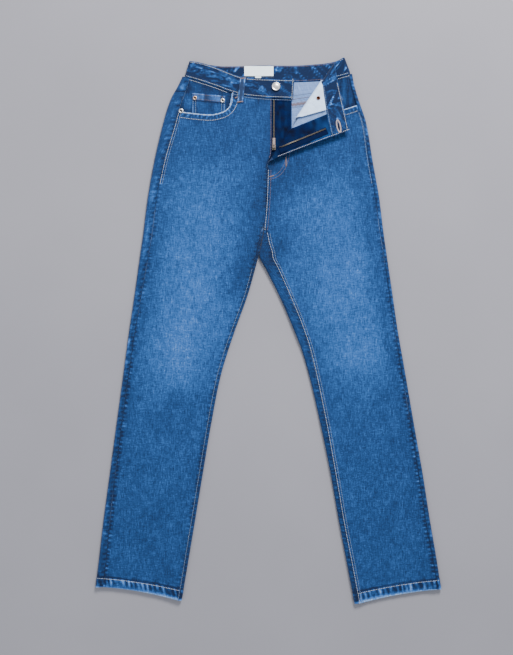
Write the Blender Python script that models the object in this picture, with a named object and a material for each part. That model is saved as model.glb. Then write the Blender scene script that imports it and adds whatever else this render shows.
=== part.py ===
"""Slim straight jeans, laid flat on their back with the fly open and the left front corner folded over.

Sizes are in millimetres and become metres when a mesh is made. +X runs to the wearer's left, +Y to the
waist and +Z up from the surface that the jeans lie on. Plan places are measured from the centre front;
the last step moves the whole garment so that its origin is below the middle of its box.

The cloth is worked out in plan first, as it would lie if the fly were closed. front_layer then gives each
plan point of the pieces on top its place, with the corner turned over. section gives the pieces underneath
theirs, with the rolled edges where the back panels wrap round to the front.
"""

import math

import bmesh
import bpy
import numpy as np

MM = 0.001

# Cloth
DENIM = 1.2
HALF = DENIM / 2
SEAM = 0.3
HEM_DEPTH = 21.5
HEM_EXTRA = 1.5
BAND_THICK = 2.6
LOOP_THICK = 1.3
LOOP_WIDTH = 12.0

# Metal
BUTTON_PLACE = (16.2, 495.0)
SLIDER_PLACE = (12.0, 371.5)
PULL_LENGTH = 19.0
PULL_TILT = math.radians(3.0)
BAR_RADIUS = 0.6
BAR_HEIGHT = 2.9

# The fly: where its seam ends, and the turned-over corner
FOLD_START = np.array([10.8, 346.7])
FOLD_ALONG = np.array([0.557, 0.8305])
FOLD_ACROSS = np.array([-0.8305, 0.557])
FOLD_RADIUS = 4.5
FOLD_STEPS = 6
FLAP_LIFT = 2.5
FOLD_RIDGE = 1.9

# Sections of the outline. y, the outer edges of the two legs, and how far the outseams lie in from them
SIDES = """
y     right_edge left_edge right_outseam left_outseam
 520  -170.5     169.8     13            6
 500  -179.5     173.5     18            6.5
 470  -196.5     182.5     24            7
 420  -212       198.9     24            7
 345  -229.8     211.5     20            8
 265  -243.8     225.5     18            8
 200  -252       233.6     18            7.5
 155  -258.4     240.1     17            6.5
  80  -269       251       14            6.5
   5  -280       262       12            6.5
 -90  -293       278.5     10.5          7
-190  -306.7     295.6     10.5          7
-285  -319.5     312.4     11            8.5
-385  -333       328       13            9
-480  -344       344       14.5          7.5
-560  -354       355.5     15            7
"""

# The inner edges of the legs below the crotch, and how far the inseams lie in from them
INSIDES = """
y     right_edge left_edge right_inseam left_inseam
 201  -9.9       -8.2      4.9          4.9
 178  -14.4      -12.7     5.2          14
 155  -19.1      -17.4     5.6          25
 125  -27        -3.5      6            24
  80  -39.5      19.5      6            21
   5  -66.3      52        6.5          19
 -40  -81.5      69.5      7            16
 -90  -96.2      84        7            13.5
-190  -116       107.3     7            10.7
-285  -132       126.7     7            8.5
-385  -148.5     144.3     7            8
-480  -164.3     162.2     7            8.5
-560  -177.9     177.6     7            8
"""

# Centre front edges of the two fronts, and the centre back seam
CENTRES = """
y     right_front left_front back
 516  7.5         -5.5       -19
 476  7.5         -4.2       -19
 400  7.5         -2.4       -18
 372  7.5         -2.0       -17
 356  6           -1.6       -17
 345  1.6         -1.4       -16
 333  -2.2        -1.2       -16
 286  -3          -2.4       -14
 250  -4.6        -4         -12
 216  -9.4        -8.7       -9.5
 201  -14.5       -3.7       -9.1
"""

# Heights of the outer face: in the middle of a layer, and on the rolled edges
HEIGHTS = """
y     middle edge
 556  7.4    10.6
 480  7.0    9.8
 400  6.8    9.2
 300  6.6    8.6
 200  6.2    8.2
 100  5.6    7.8
-100  5.3    7.4
-400  5.4    7.4
-490  6.0    8.0
-560  6.6    8.4
"""

# Soft creases in the fronts: middle, direction in degrees, half length, half width, height
CREASES = """
x     y    turn  reach width rise
-60   395  -8    52    7     0.8
-95   350  -4    60    8     -0.7
 70   318  9     62    8     0.8
 95   275  6     66    9     -0.7
 28   212  38    34    7     0.9
 52   190  30    40    8     -0.8
-48   205  -34   36    7     0.8
-170  150  4     46    9     0.7
 165  95   -6    52    9     0.7
-190  -20  12    44    10    -0.6
 190  -60  -14   46    10    0.6
-235  -250 -10   48    10    0.6
 240  -300 12    48    10    -0.6
"""
BULGE_REACH = 22.0
FLY_BUMP = (14.0, 362.0, 40.0, 62.0, 1.8)

# Waistband edges from the right end to the corner, along the back, and from the left corner to the end
BAND_RIGHT_TOP = [(52.8, 509), (0, 510.5), (-40.6, 512.4), (-60.9, 516.6), (-77, 522.7), (-97.4, 530.8),
                  (-117.7, 538), (-138.6, 543.5), (-158.2, 546)]
BAND_RIGHT_FOOT = [(50.8, 470.6), (-6, 472.8), (-40.6, 476.2), (-77, 485.2), (-104.5, 495.3), (-132, 504.5),
                   (-168, 514.6)]
BAND_BACK_TOP = [(-158.2, 546), (-115.7, 539.2), (-88, 536.6), (-48.7, 537), (-12.2, 538.6), (44.7, 538),
                 (105.6, 541.6), (132, 545.5), (152.9, 553.7)]
BAND_BACK_FOOT = [(-168, 514.6), (-120, 508), (-60, 505.5), (0, 505), (60, 505.5), (112, 508), (145, 514),
                  (166.1, 520.4)]
BAND_LEFT_TOP = [(152.9, 553.7), (138, 545), (110, 537), (60, 528), (0, 517.8), (-5.5, 516.6)]
BAND_LEFT_FOOT = [(166.1, 520.4), (140, 513.6), (111.7, 506), (60, 492.6), (20, 484), (-4.2, 480)]
# Both ends of the buttonhole's slit, as shares of the turned-over end of the waistband
SLIT_SHARES = (0.81, 0.93)
CORNER_RIGHT_IN = (0.955, -0.296)
CORNER_LEFT_IN = (-0.93, -0.369)
BAND_BACK_FLOOR = 1.6
BAND_FRONT_RISE = 0.2

# Pocket mouths, from the outseam to the waist seam
MOUTH_RIGHT = [(-180, 445), (-143, 440.5), (-118, 438.7), (-93.4, 443.5), (-79.4, 453.7), (-74, 466.9),
               (-73, 485.7)]
MOUTH_LEFT = [(178.5, 457), (152.3, 449), (126, 443.5), (105.6, 448.5), (93.4, 459.7), (88.6, 474),
              (88, 499.6)]
YOKE_SIDE_Y = 484.0
YOKE_CENTRE_Y = 456.0

# Back pockets: inner and outer top corners' x, top y, length to the point
BACK_POCKETS = {"right": (-52.0, -186.0, 434.0, 148.0), "left": (18.0, 152.0, 434.0, 148.0)}
POCKET_THICK = 1.0
POCKET_LIFT = 1.3

# Where the back panels begin to turn up at the crotch
CROTCH_Y = 201.0
CROTCH_TURN = math.radians(22.0)

# The yoke's top: y at the two sides, and the centre back seam's place
YOKE_TOP = {"right": 514.0, "left": 519.6, "centre_x": -19.0, "centre_y": 505.1}

# Hidden edges of the pocket facings, the coin pocket and the pocket bag
FACING_RIGHT = [(-176, 422), (-140, 414), (-112, 414), (-80, 422), (-58, 440), (-51, 460), (-50, 478)]
FACING_LEFT = [(168, 432), (140, 424), (115, 421), (88, 430), (72, 446), (66, 466), (65, 493)]
COIN_POCKET = (-154.0, -86.5, 482.5, 424.0)
COIN_SLOPE = -0.09
BAG_INNER_X = 60.0
BAG_INNER_TOP_X = 50.0
BAG_OUTER_X = 129.0
BAG_PAST_FOLD = 10.0
SHIELD_INNER_X = -14.0
SHIELD_OUTER = """
y     x
474.5 48
452   48
430   48
405   48
382   44
364   36
352   24
347   16
"""

# The outer edge of the fly facing, on the inside of the wearer's left front
FLY_FACING_OUTER = """
y     x
482   42
455   42
430   42
405   42
385   38
368   28
355   18
"""

# Both sides of the zip: x of the two long edges, y of the top and the foot, then how far the two faces
# lie out from the middle of the front's cloth
TAPE_BOX = {"right": (1.0, 15.5, 470.0, 364.0), "left": (4.0, 18.0, 476.0, 372.0)}
TAPE_FACES = {"right": (-0.9, -1.9), "left": (-2.2, -3.2)}
TEETH_BOX = {"right": (9.8, 14.2, 468.5, 377.5), "left": (13.0, 17.4, 475.0, 385.0)}
TEETH_FACES = {"right": (0.8, -0.6), "left": (-3.5, -4.9)}

# Rivets: x, y, how far the foot lies out from the middle of the front's cloth, the side, and the radius
RIVETS = {
    "rivet_side_right": (-176.0, 445.5, 1.2, "right", 4.7),
    "rivet_coin_side": (-148.0, 472.3, -0.6, "right", 4.3),
    "rivet_coin_centre": (-91.9, 467.4, -0.6, "right", 4.4),
    "rivet_back_left": (77.6, 484.4, -5.1, "left", 3.9),
}
# The cap's section from its foot to the floor of its dish: share of the radius, height
RIVET_CAP = ((1, 0), (1, 0.45), (0.83, 1.1), (0.5, 1.1), (0.38, 0.5))
COPPER_RIVETS = ("rivet_coin_side", "rivet_back_left")

# Labels: lowest and highest x, then the top and the foot
LABEL_BOX = (-48.0, 11.0, 536.8, 516.8)
TAB_BOX = (-26.0, -14.0, 516.4, 512.8)

# Belt loops at the back: x, top and foot
BACK_LOOPS = {"right": (-98.0, 536.5, 492.0), "centre": (-19.0, 536.5, 490.0), "left": (72.0, 537.5, 492.0)}
FRONT_LOOPS = {"right": ((-50.6, 515.5), (-56.4, 463.0)), "left": ((62.0, 530.0), (58.0, 480.0))}

# Hems: outer and inner corner of each leg
HEM_RIGHT = [(-349.4, -518.7), (-176.0, -545.2)]
HEM_LEFT = [(350.0, -523.0), (176.5, -551.8)]

# How far the middle of each leg's lower edge rises above the line between its corners, and the height
# over which the arch dies out
HEM_ARCH = {"right": 4.6, "left": 4.0}
ARCH_REACH = 60.0


def read_table(text):
    """The columns of a small table, by name."""
    lines = [line.split() for line in text.strip().splitlines()]
    rows = np.array([[float(word) for word in line] for line in lines[1:]])
    return {name: rows[:, i] for i, name in enumerate(lines[0])}


def smooth(keys, values, at):
    """A curve through the values with no overshoot, at any keys; straight beyond its ends."""
    order = np.argsort(keys)
    k, v = np.asarray(keys, float)[order], np.asarray(values, float)[order]
    at = np.asarray(at, float)
    steps = np.diff(k)
    slopes = np.diff(v) / steps
    tangents = np.empty_like(v)
    tangents[0], tangents[-1] = slopes[0], slopes[-1]
    for i in range(1, len(v) - 1):
        before, after = slopes[i - 1], slopes[i]
        weigh_1 = 2 * steps[i] + steps[i - 1]
        weigh_2 = steps[i] + 2 * steps[i - 1]
        same_way = before * after > 0
        tangents[i] = (weigh_1 + weigh_2) / (weigh_1 / before + weigh_2 / after) if same_way else 0.0
    cell = np.clip(np.searchsorted(k, at, side="right") - 1, 0, len(k) - 2)
    t = (at - k[cell]) / steps[cell]
    inside = np.clip(t, 0, 1)
    h = inside
    value = (
        v[cell] * (1 + 2 * h) * (1 - h) ** 2
        + tangents[cell] * steps[cell] * h * (1 - h) ** 2
        + v[cell + 1] * h**2 * (3 - 2 * h)
        + tangents[cell + 1] * steps[cell] * h**2 * (h - 1)
    )
    beyond = np.where(t < 0, t * tangents[cell], 0) + np.where(t > 1, (t - 1) * tangents[cell + 1], 0)
    return value + beyond * steps[cell]


SIDE, INSIDE, CENTRE = read_table(SIDES), read_table(INSIDES), read_table(CENTRES)
HEIGHT, CREASE = read_table(HEIGHTS), read_table(CREASES)


def column(table, name, y):
    """One column of a table at y."""
    return smooth(table["y"], table[name], y)


def route(points, shares):
    """Points at the given shares of the way along a smooth line through points."""
    points = np.array(points, float)
    run = np.concatenate([[0], np.cumsum(np.linalg.norm(np.diff(points, axis=0), axis=1))])
    at = np.asarray(shares, float) * run[-1]
    return np.stack([smooth(run, points[:, 0], at), smooth(run, points[:, 1], at)], axis=-1)


def ease(t):
    """0 below 0, 1 above 1, and a soft step between."""
    t = np.clip(t, 0, 1)
    return t * t * (3 - 2 * t)


def creases(x, y):
    """Height that the soft creases add."""
    total = np.zeros(np.broadcast(x, y).shape)
    for cx, cy, turn, reach, width, rise in zip(*CREASE.values()):
        angle = math.radians(turn)
        along = (x - cx) * math.cos(angle) + (y - cy) * math.sin(angle)
        across = (y - cy) * math.cos(angle) - (x - cx) * math.sin(angle)
        total = total + rise * np.exp(-((along / reach) ** 2) - (across / width) ** 2)
    return total


def edge_radius(y):
    """Radius of the rolled side edge, to the middle of the cloth."""
    return (column(HEIGHT, "edge", y) - DENIM) / 2


def fold_distance(x, y):
    """How far a plan point lies past the line where the left corner starts to turn over."""
    return (x - FOLD_START[0]) * FOLD_ACROSS[0] + (y - FOLD_START[1]) * FOLD_ACROSS[1]


def front_height(x, y, side):
    """Height of the middle of the front cloth over a plan point, with the fly closed flat."""
    x, y = np.asarray(x, float), np.asarray(y, float)
    middle = column(HEIGHT, "middle", y) - HALF
    rise = column(HEIGHT, "edge", y) - HALF - middle
    radius = edge_radius(y)
    bulge = 0
    for inboard in (x - column(SIDE, "right_edge", y), column(SIDE, "left_edge", y) - x):
        bulge = bulge + np.exp(-((np.maximum(inboard - radius, 0) / BULGE_REACH) ** 2))
    if side == "right":
        inboard = column(INSIDE, "right_edge", y) - x
    else:
        inboard = x - column(INSIDE, "left_edge", y)
    leg = ease((235 - y) / 60)
    bulge = bulge + leg * np.exp(-((np.maximum(inboard - radius, 0) / BULGE_REACH) ** 2))
    cx, cy, wide, long, high = FLY_BUMP
    fly = high * np.exp(-(((x - cx) / wide) ** 2) - ((y - cy) / long) ** 2)
    ridge = 0
    if side == "left":
        ridge = FOLD_RIDGE * np.exp(-((fold_distance(x, y) / 32) ** 2)) * ease((y - 335) / 70)
    return middle + rise * np.minimum(bulge, 1.2) + fly + ridge + creases(x, y)


def front_layer(x, y, out, side):
    """Place of a point of the front, out millimetres above the middle of its cloth, with the left
    corner turned over on a roll of FOLD_RADIUS."""
    x, y, out = np.broadcast_arrays(np.asarray(x, float), np.asarray(y, float), np.asarray(out, float))
    flat = np.stack([x, y, front_height(x, y, side) + out], axis=-1)
    if side == "right":
        return flat
    past = fold_distance(x, y)
    foot = np.stack([x - past * FOLD_ACROSS[0], y - past * FOLD_ACROSS[1]], axis=-1)
    angle = np.clip(past / FOLD_RADIUS, 0, math.pi)
    beyond = np.maximum(past - math.pi * FOLD_RADIUS, 0)
    across = (FOLD_RADIUS - out) * np.sin(angle) - beyond
    turned = foot + across[..., None] * FOLD_ACROSS
    ground = front_height(foot[..., 0], foot[..., 1], side)
    landed = front_height(turned[..., 0], turned[..., 1], side)
    share = ease(beyond / 20)
    rise = FOLD_RADIUS - (FOLD_RADIUS - out) * np.cos(angle)
    lift = FLAP_LIFT * ease(beyond / 80)
    high = ground * (1 - share) + landed * share + rise + lift
    rolled = np.concatenate([turned, high[..., None]], axis=-1)
    return np.where(past[..., None] > 0, rolled, flat)


def back_lift(x, y):
    """Height of the underside of the back: flat on the surface, but over the pockets and the loops."""
    x, y = np.asarray(x, float), np.asarray(y, float)
    lift = BAND_BACK_FLOOR * ease((y - 468) / 18)
    for inner, outer, top, length in BACK_POCKETS.values():
        low_x, high_x = min(inner, outer), max(inner, outer)
        away_x = np.maximum(low_x - x, x - high_x)
        away_y = np.maximum(top - length - y, y - top)
        lift = np.maximum(lift, POCKET_LIFT * ease(1.35 - np.maximum(away_x, away_y) / 26))
    return lift


def material(name, colour, roughness, metallic=0.0):
    """A plain finish, made once for each name."""
    found = bpy.data.materials.get(name)
    if found:
        return found
    made = bpy.data.materials.new(name)
    made.use_nodes = True
    shader = made.node_tree.nodes["Principled BSDF"]
    shader.inputs["Base Color"].default_value = (*colour, 1.0)
    shader.inputs["Roughness"].default_value = roughness
    shader.inputs["Metallic"].default_value = metallic
    made.diffuse_color = (*colour, 1.0)
    return made


def denim():
    return material("denim", (0.05, 0.17, 0.40), 0.9)


def dark_denim():
    return material("dark_denim", (0.012, 0.03, 0.10), 0.9)


def cotton():
    return material("cotton", (0.78, 0.79, 0.82), 0.95)


def label_weave():
    return material("label_weave", (0.88, 0.88, 0.88), 0.8)


def nickel():
    return material("nickel", (0.75, 0.73, 0.72), 0.3, 1.0)


def copper():
    return material("copper", (0.55, 0.30, 0.20), 0.4, 1.0)


def zip_cloth():
    return material("zip_cloth", (0.03, 0.05, 0.12), 0.85)


def brass():
    return material("brass", (0.62, 0.48, 0.25), 0.35, 1.0)


def add_object(name, mesh, finish):
    """An object of that mesh, with its finish, in the scene."""
    mesh.materials.append(finish)
    made = bpy.data.objects.new(name, mesh)
    bpy.context.scene.collection.objects.link(made)
    return made


def closed_mesh(name, points, faces, finish, smooth_angle=40):
    """A solid from points in millimetres and triangles, with its normals pointing out."""
    form = bmesh.new()
    corners = [form.verts.new([float(c) * MM for c in p]) for p in arched(points)]
    for face in faces:
        form.faces.new([corners[i] for i in face])
    loose = [v for v in form.verts if not v.link_faces]
    bmesh.ops.delete(form, geom=loose, context="VERTS")
    bmesh.ops.recalc_face_normals(form, faces=form.faces[:])
    mesh = bpy.data.meshes.new(name)
    form.to_mesh(mesh)
    form.free()
    mesh.shade_smooth()
    mesh.set_sharp_from_angle(angle=math.radians(smooth_angle))
    return add_object(name, mesh, finish)


def two_faced(name, upper, lower, triangles, finish):
    """A cloth wall: the triangles on the upper points, again on the lower ones, and a rim between."""
    count = len(upper)
    open_sides = {}
    for a, b, c in triangles:
        for start, end in ((a, b), (b, c), (c, a)):
            if (end, start) in open_sides:
                del open_sides[(end, start)]
            else:
                open_sides[(start, end)] = True
    faces = [tuple(t) for t in triangles]
    faces += [(c + count, b + count, a + count) for a, b, c in triangles]
    for start, end in open_sides:
        faces.append((end, start, start + count))
        faces.append((end, start + count, end + count))
    return closed_mesh(name, np.concatenate([upper, lower]), faces, finish)


def wall(name, outer, inner, finish, slit=None):
    """A cloth wall between two grids of points; slit is the row and column of a cell left open."""
    rows, columns = outer.shape[:2]
    triangles = []
    for r in range(rows - 1):
        for c in range(columns - 1):
            if (r, c) == slit:
                continue
            a, b = r * columns + c, r * columns + c + 1
            d, e = a + columns, b + columns
            triangles += [(a, b, e), (a, e, d)]
    return two_faced(name, outer.reshape(-1, 3), inner.reshape(-1, 3), triangles, finish)


def front_piece(name, plan, finish, top=HALF, foot=-HALF, side="right", extra=None):
    """A piece of the front cut from a plan grid of rows and columns. Its upper and lower faces lie top
    and foot millimetres from the middle of the front cloth. On the left it is first cut along the
    lines of the turned-over roll, so that every layer bends at the same lines."""
    rows, columns = plan.shape[:2]
    form = bmesh.new()
    grid = [[form.verts.new((*plan[r, c], 0.0)) for c in range(columns)] for r in range(rows)]
    for r in range(rows - 1):
        for c in range(columns - 1):
            form.faces.new((grid[r][c], grid[r][c + 1], grid[r + 1][c + 1], grid[r + 1][c]))
    if side == "left":
        for step in range(FOLD_STEPS + 1):
            place = FOLD_START + math.pi * FOLD_RADIUS * step / FOLD_STEPS * FOLD_ACROSS
            everything = form.verts[:] + form.edges[:] + form.faces[:]
            line = {"plane_co": (*place, 0), "plane_no": (*FOLD_ACROSS, 0)}
            bmesh.ops.bisect_plane(form, geom=everything, dist=0.01, **line)
    bmesh.ops.triangulate(form, faces=form.faces[:])
    form.verts.index_update()
    flat = np.array([v.co[:2] for v in form.verts])
    triangles = [[v.index for v in face.verts] for face in form.faces]
    form.free()
    more = extra(flat[:, 0], flat[:, 1]) if extra else 0.0
    upper = front_layer(flat[:, 0], flat[:, 1], top, side)
    lower = front_layer(flat[:, 0], flat[:, 1], foot - more, side)
    return two_faced(name, upper, lower, triangles, finish)


def ruled(first, last, steps):
    """A plan grid of straight lines between two rows of points."""
    shares = np.linspace(0, 1, steps + 1)[:, None, None]
    return np.array(first)[None] * (1 - shares) + np.array(last)[None] * shares


def strip(x_low, x_high, y_high, y_low, rows, columns=1):
    """A plan grid of a rectangle."""
    xs = np.linspace(x_low, x_high, columns + 1)
    return np.array([[(x, y) for x in xs] for y in np.linspace(y_high, y_low, rows + 1)])


def hem_line(side, share):
    """A point of the leg's lower edge, from its outer corner to its inner one."""
    outer, inner = (np.array(p) for p in (HEM_RIGHT if side == "right" else HEM_LEFT))
    return outer + (inner - outer) * share


def arched(points):
    """The points, moved up where the lower edge of a leg arches."""
    moved = np.array(points, float)
    x, y = moved[..., 0], moved[..., 1]
    for side, rise in HEM_ARCH.items():
        outer, inner = hem_line(side, 0), hem_line(side, 1)
        share = np.clip((x - outer[0]) / (inner[0] - outer[0]), 0, 1)
        above = y - (outer[1] + (inner[1] - outer[1]) * share)
        moved[..., 1] += rise * np.sin(math.pi * share) * ease(1 - above / ARCH_REACH)
    return moved


def row_heights(side):
    """For each row of a leg's panels: y on the outer edge and y on the inner one. The rows follow the
    yoke at the top, pass level through the crotch, and follow the hem at the foot."""
    outer = [433, 416, 396, 372, 345, 332, 318, 290, 255, 222, 205, 190, 170, 148, 115, 75, 30, -20, -75, -130,
             -190, -250, -310, -370, -425, -470]
    inner = [448, 424, 398, 371, 345, 333, 317, 290, 252, 216, 201, 186, 168, 147, 115, 76, 30, -21, -77, -134,
             -196, -258, -320, -382, -440, -488]
    for up in (HEM_DEPTH + 8, HEM_DEPTH, HEM_DEPTH - 4, 0):
        outer.append(hem_line(side, 0)[1] + up)
        inner.append(hem_line(side, 1)[1] + up)
    return np.array(outer, float), np.array(inner, float)


def outseam_x(side, y):
    """x of the outseam, on the front."""
    sign = 1 if side == "right" else -1
    return column(SIDE, side + "_edge", y) + sign * column(SIDE, side + "_outseam", y)


def inseam_x(side, y):
    """x of the inseam, on the front."""
    sign = -1 if side == "right" else 1
    return column(INSIDE, side + "_edge", y) + sign * column(INSIDE, side + "_inseam", y)


def front_inner_x(side, y):
    """x of a front panel's inner side: the centre front down to the crotch, then the inseam."""
    return np.where(y > CROTCH_Y, column(CENTRE, side + "_front", y), inseam_x(side, y))


def hem_extra(side):
    """How much thicker the turned-up hem makes the cloth, on its inner face."""
    outer, inner = hem_line(side, 0), hem_line(side, 1)

    def extra(x, y):
        edge_y = outer[1] + (inner[1] - outer[1]) * (x - outer[0]) / (inner[0] - outer[0])
        return HEM_EXTRA * ease((edge_y + HEM_DEPTH - y) / 4 + 0.5)

    return extra


def line_y(points, x):
    """y of a line given by points, at x."""
    xs, ys = np.array(points, float).T
    return smooth(xs, ys, x)


def front_plan(side):
    """Plan grid of a front panel, from its pocket mouth and waist seam to its hem."""
    sign = -1 if side == "right" else 1
    mouth = MOUTH_RIGHT if side == "right" else MOUTH_LEFT
    foot = BAND_RIGHT_FOOT if side == "right" else BAND_LEFT_FOOT
    mouth_points = route(mouth, [0, 0.2, 0.4, 0.58, 0.72, 0.84, 1])
    mouth_points[0, 0] = outseam_x(side, mouth[0][1]) - sign * SEAM / 2
    mouth_points[-1, 1] = line_y(foot, mouth_points[-1, 0]) - SEAM
    corner, centre = mouth_points[-1][0], float(column(CENTRE, side + "_front", 476))
    xs = np.linspace(corner, centre, 7)[1:]
    seam_points = np.stack([xs, line_y(foot, xs) - SEAM], axis=-1)
    top = np.concatenate([mouth_points, seam_points])
    outer_y, inner_y = row_heights(side)
    outer = np.stack([outseam_x(side, outer_y) - sign * SEAM / 2, outer_y], axis=-1)
    inner = np.stack([front_inner_x(side, inner_y), inner_y], axis=-1)
    shares = np.linspace(0, 1, len(top))[:, None]
    bend = top - (top[0] + (top[-1] - top[0]) * shares)
    rows = [top]
    for i in range(len(outer_y)):
        keep = max(0.0, 1 - (445 - outer_y[i]) / 130) ** 1.5
        rows.append(outer[i] + (inner[i] - outer[i]) * shares + bend * keep)
    return np.array(rows)


ACROSS = np.array([0.0] * 8 + [0.12, 0.28, 0.46, 0.64, 0.82, 1.0] + [1.0] * 7)


def section(side, outer_y, inner_y, extreme_x, turn, wrap):
    """One section across a back piece: points on the middle of its cloth, and normals that point out.
    It runs from the outseam, round the outer edge and along underneath. Its end turns up through the
    angle turn, goes on straight for wrap, and reaches no further across than extreme_x."""
    sign = -1 if side == "right" else 1
    edge = float(column(SIDE, side + "_edge", outer_y))
    guess = edge - sign * float(edge_radius(outer_y))
    top = float(front_height(guess, outer_y, side))
    floor = float(back_lift(guess, outer_y)) + HALF
    radius = (top - floor) / 2
    start = edge - sign * radius
    seam = float(outseam_x(side, outer_y)) + sign * SEAM / 2
    points, normals = [], []
    for share in (0, 0.5):
        x = seam + (start - seam) * share
        points.append((x, outer_y, float(front_height(x, outer_y, side))))
        normals.append((0, 0, 1))
    for step in range(6):
        angle = math.pi * (0.5 - step / 5)
        z = (top + floor) / 2 + radius * math.sin(angle)
        points.append((start + sign * radius * math.cos(angle), outer_y, z))
        normals.append((sign * math.cos(angle), 0, math.sin(angle)))
    end_floor = float(back_lift(extreme_x, inner_y)) + HALF
    end_radius = (float(front_height(extreme_x, inner_y, side)) - end_floor) / 2
    arc = end_radius * turn
    straight = max(wrap, 0.6)
    reach = end_radius if turn > math.pi / 2 else end_radius * math.sin(turn)
    if turn < math.pi / 2:
        reach += (straight + max(arc, 2.5) - arc) * math.cos(turn)
    turn_x = extreme_x + sign * reach
    for share in ACROSS[8:14]:
        x = start + (turn_x - start) * share
        y = outer_y + (inner_y - outer_y) * share
        points.append((x, y, float(back_lift(x, y)) + HALF))
        normals.append((0, 0, -1))
    bend_run = max(arc, 2.5)
    runs = [bend_run * k / 5 for k in range(1, 6)] + [bend_run + straight / 2, bend_run + straight]
    for run in runs:
        angle = min(run, arc) / end_radius
        more = max(run - arc, 0)
        x = turn_x - sign * (end_radius * math.sin(angle) + more * math.cos(angle))
        z = end_floor + end_radius * (1 - math.cos(angle)) + more * math.sin(angle)
        if turn > 3 and more > 0:
            z = float(front_height(x, inner_y, side))
        points.append((x, inner_y, z))
        normals.append((-sign * math.sin(angle), 0, -math.cos(angle)))
    return np.array(points), np.array(normals)


def back_panel(side):
    """A back panel: yoke seam to hem, wrapped round the outer edge and, below the crotch, the inner."""
    sign = -1 if side == "right" else 1
    extra = hem_extra(side)
    outer_y, inner_y = row_heights(side)
    mouth = MOUTH_RIGHT if side == "right" else MOUTH_LEFT
    outer_y = np.concatenate([[YOKE_SIDE_Y - SEAM / 2, mouth[0][1]], outer_y])
    inner_y = np.concatenate([[YOKE_CENTRE_Y - SEAM / 2, 452], inner_y])
    outer_face, inner_face = [], []
    for yo, yi in zip(outer_y, inner_y):
        if yi > CROTCH_Y:
            turn = CROTCH_TURN if yi < 230 else 0.0
            extreme = float(column(CENTRE, "back", yi)) + sign * (SEAM / 2 + HALF * math.sin(turn))
            wrap = 0.6
        else:
            turn = math.pi
            extreme = float(column(INSIDE, side + "_edge", yi))
            radius = (float(front_height(extreme, yi, side)) - HALF) / 2
            wrap = abs(float(inseam_x(side, yi)) - extreme) - radius - SEAM
        middle, normal = section(side, yo, yi, extreme, turn, wrap)
        thick = HALF + extra(middle[:, 0], middle[:, 1])
        outer_face.append(middle + normal * HALF)
        inner_face.append(middle - normal * thick[:, None])
    return wall("back_" + side, np.array(outer_face), np.array(inner_face), denim())


def yoke(side):
    """A back yoke, from the waistband to the yoke seam, wrapped round the side."""
    sign = -1 if side == "right" else 1
    front_foot = BAND_RIGHT_FOOT if side == "right" else BAND_LEFT_FOOT
    top_outer = YOKE_TOP[side]
    extreme = YOKE_TOP["centre_x"] + sign * SEAM / 2
    top_inner = YOKE_TOP["centre_y"]
    outer_face, inner_face = [], []
    for share in (0, 0.25, 0.5, 0.75, 1):
        yo = top_outer * (1 - share) + (YOKE_SIDE_Y + SEAM / 2) * share
        yi = top_inner * (1 - share) + (YOKE_CENTRE_Y + SEAM / 2) * share
        middle, normal = section(side, yo, yi, extreme, 0.0, 0.6)
        straight = top_outer + (top_inner - top_outer) * ACROSS
        on_top = np.arange(len(ACROSS)) < 4
        seam = np.where(on_top, line_y(front_foot, middle[:, 0]), line_y(BAND_BACK_FOOT, middle[:, 0]))
        middle[:, 1] += (seam - 3 * SEAM - straight) * (1 - share)
        outer_face.append(middle + normal * HALF)
        inner_face.append(middle - normal * HALF)
    return wall("yoke_" + side, np.array(outer_face), np.array(inner_face), denim())


def pocket_facing(side):
    """The denim behind a pocket mouth, from under the front panel to the outseam and the waist seam."""
    sign = -1 if side == "right" else 1
    foot = BAND_RIGHT_FOOT if side == "right" else BAND_LEFT_FOOT
    hidden = FACING_RIGHT if side == "right" else FACING_LEFT
    hidden_line = route(hidden, np.linspace(0, 1, 13))
    corner_y = YOKE_TOP[side] - 2.5
    ys = np.linspace(hidden_line[0][1], corner_y, 7)
    up_side = np.stack([outseam_x(side, ys) - sign * SEAM, ys], axis=-1)
    xs = np.linspace(up_side[-1][0], hidden_line[-1][0], 7)[1:]
    along_top = np.stack([xs, line_y(foot, xs) - SEAM], axis=-1)
    rim = np.concatenate([up_side, along_top])
    plan = ruled(rim, hidden_line, 6)
    return front_piece("pocket_facing_" + side, plan, denim(), top=-2.3, foot=-3.3, side=side)


def pocket_bag():
    """The white pocket bag inside the turned-over corner, up to just past the fold."""
    high_x = np.linspace(BAG_INNER_TOP_X, BAG_OUTER_X, 7)
    low_x = np.linspace(BAG_INNER_X, BAG_OUTER_X, 7)
    low_y = FOLD_START[1] + (-BAG_PAST_FOLD - (low_x - FOLD_START[0]) * FOLD_ACROSS[0]) / FOLD_ACROSS[1]
    high_y = line_y(BAND_LEFT_FOOT, high_x) - SEAM
    plan = ruled(np.stack([high_x, high_y], axis=-1), np.stack([low_x, low_y], axis=-1), 5)
    return front_piece("pocket_bag_left", plan, cotton(), top=-3.75, foot=-4.75, side="left")


def crossing(line, distance):
    """How far along a line the turned-over roll has turned through that distance."""
    shares = np.linspace(0, 1, 401)
    places = route(line, shares)
    return float(np.interp(distance, fold_distance(places[:, 0], places[:, 1]), shares))


BAND_ACROSS = np.array([0.0, 0.05, 0.46, 0.54, 0.95, 1.0])
BAND_SOFT = np.array([0.55, 1.0, 1.0, 1.0, 1.0, 0.55]) * BAND_THICK / 2


def band_station(top, foot):
    """Points across the waistband, from its top edge to its foot."""
    return np.array(top) + (np.array(foot) - np.array(top)) * BAND_ACROSS[:, None]


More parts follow.
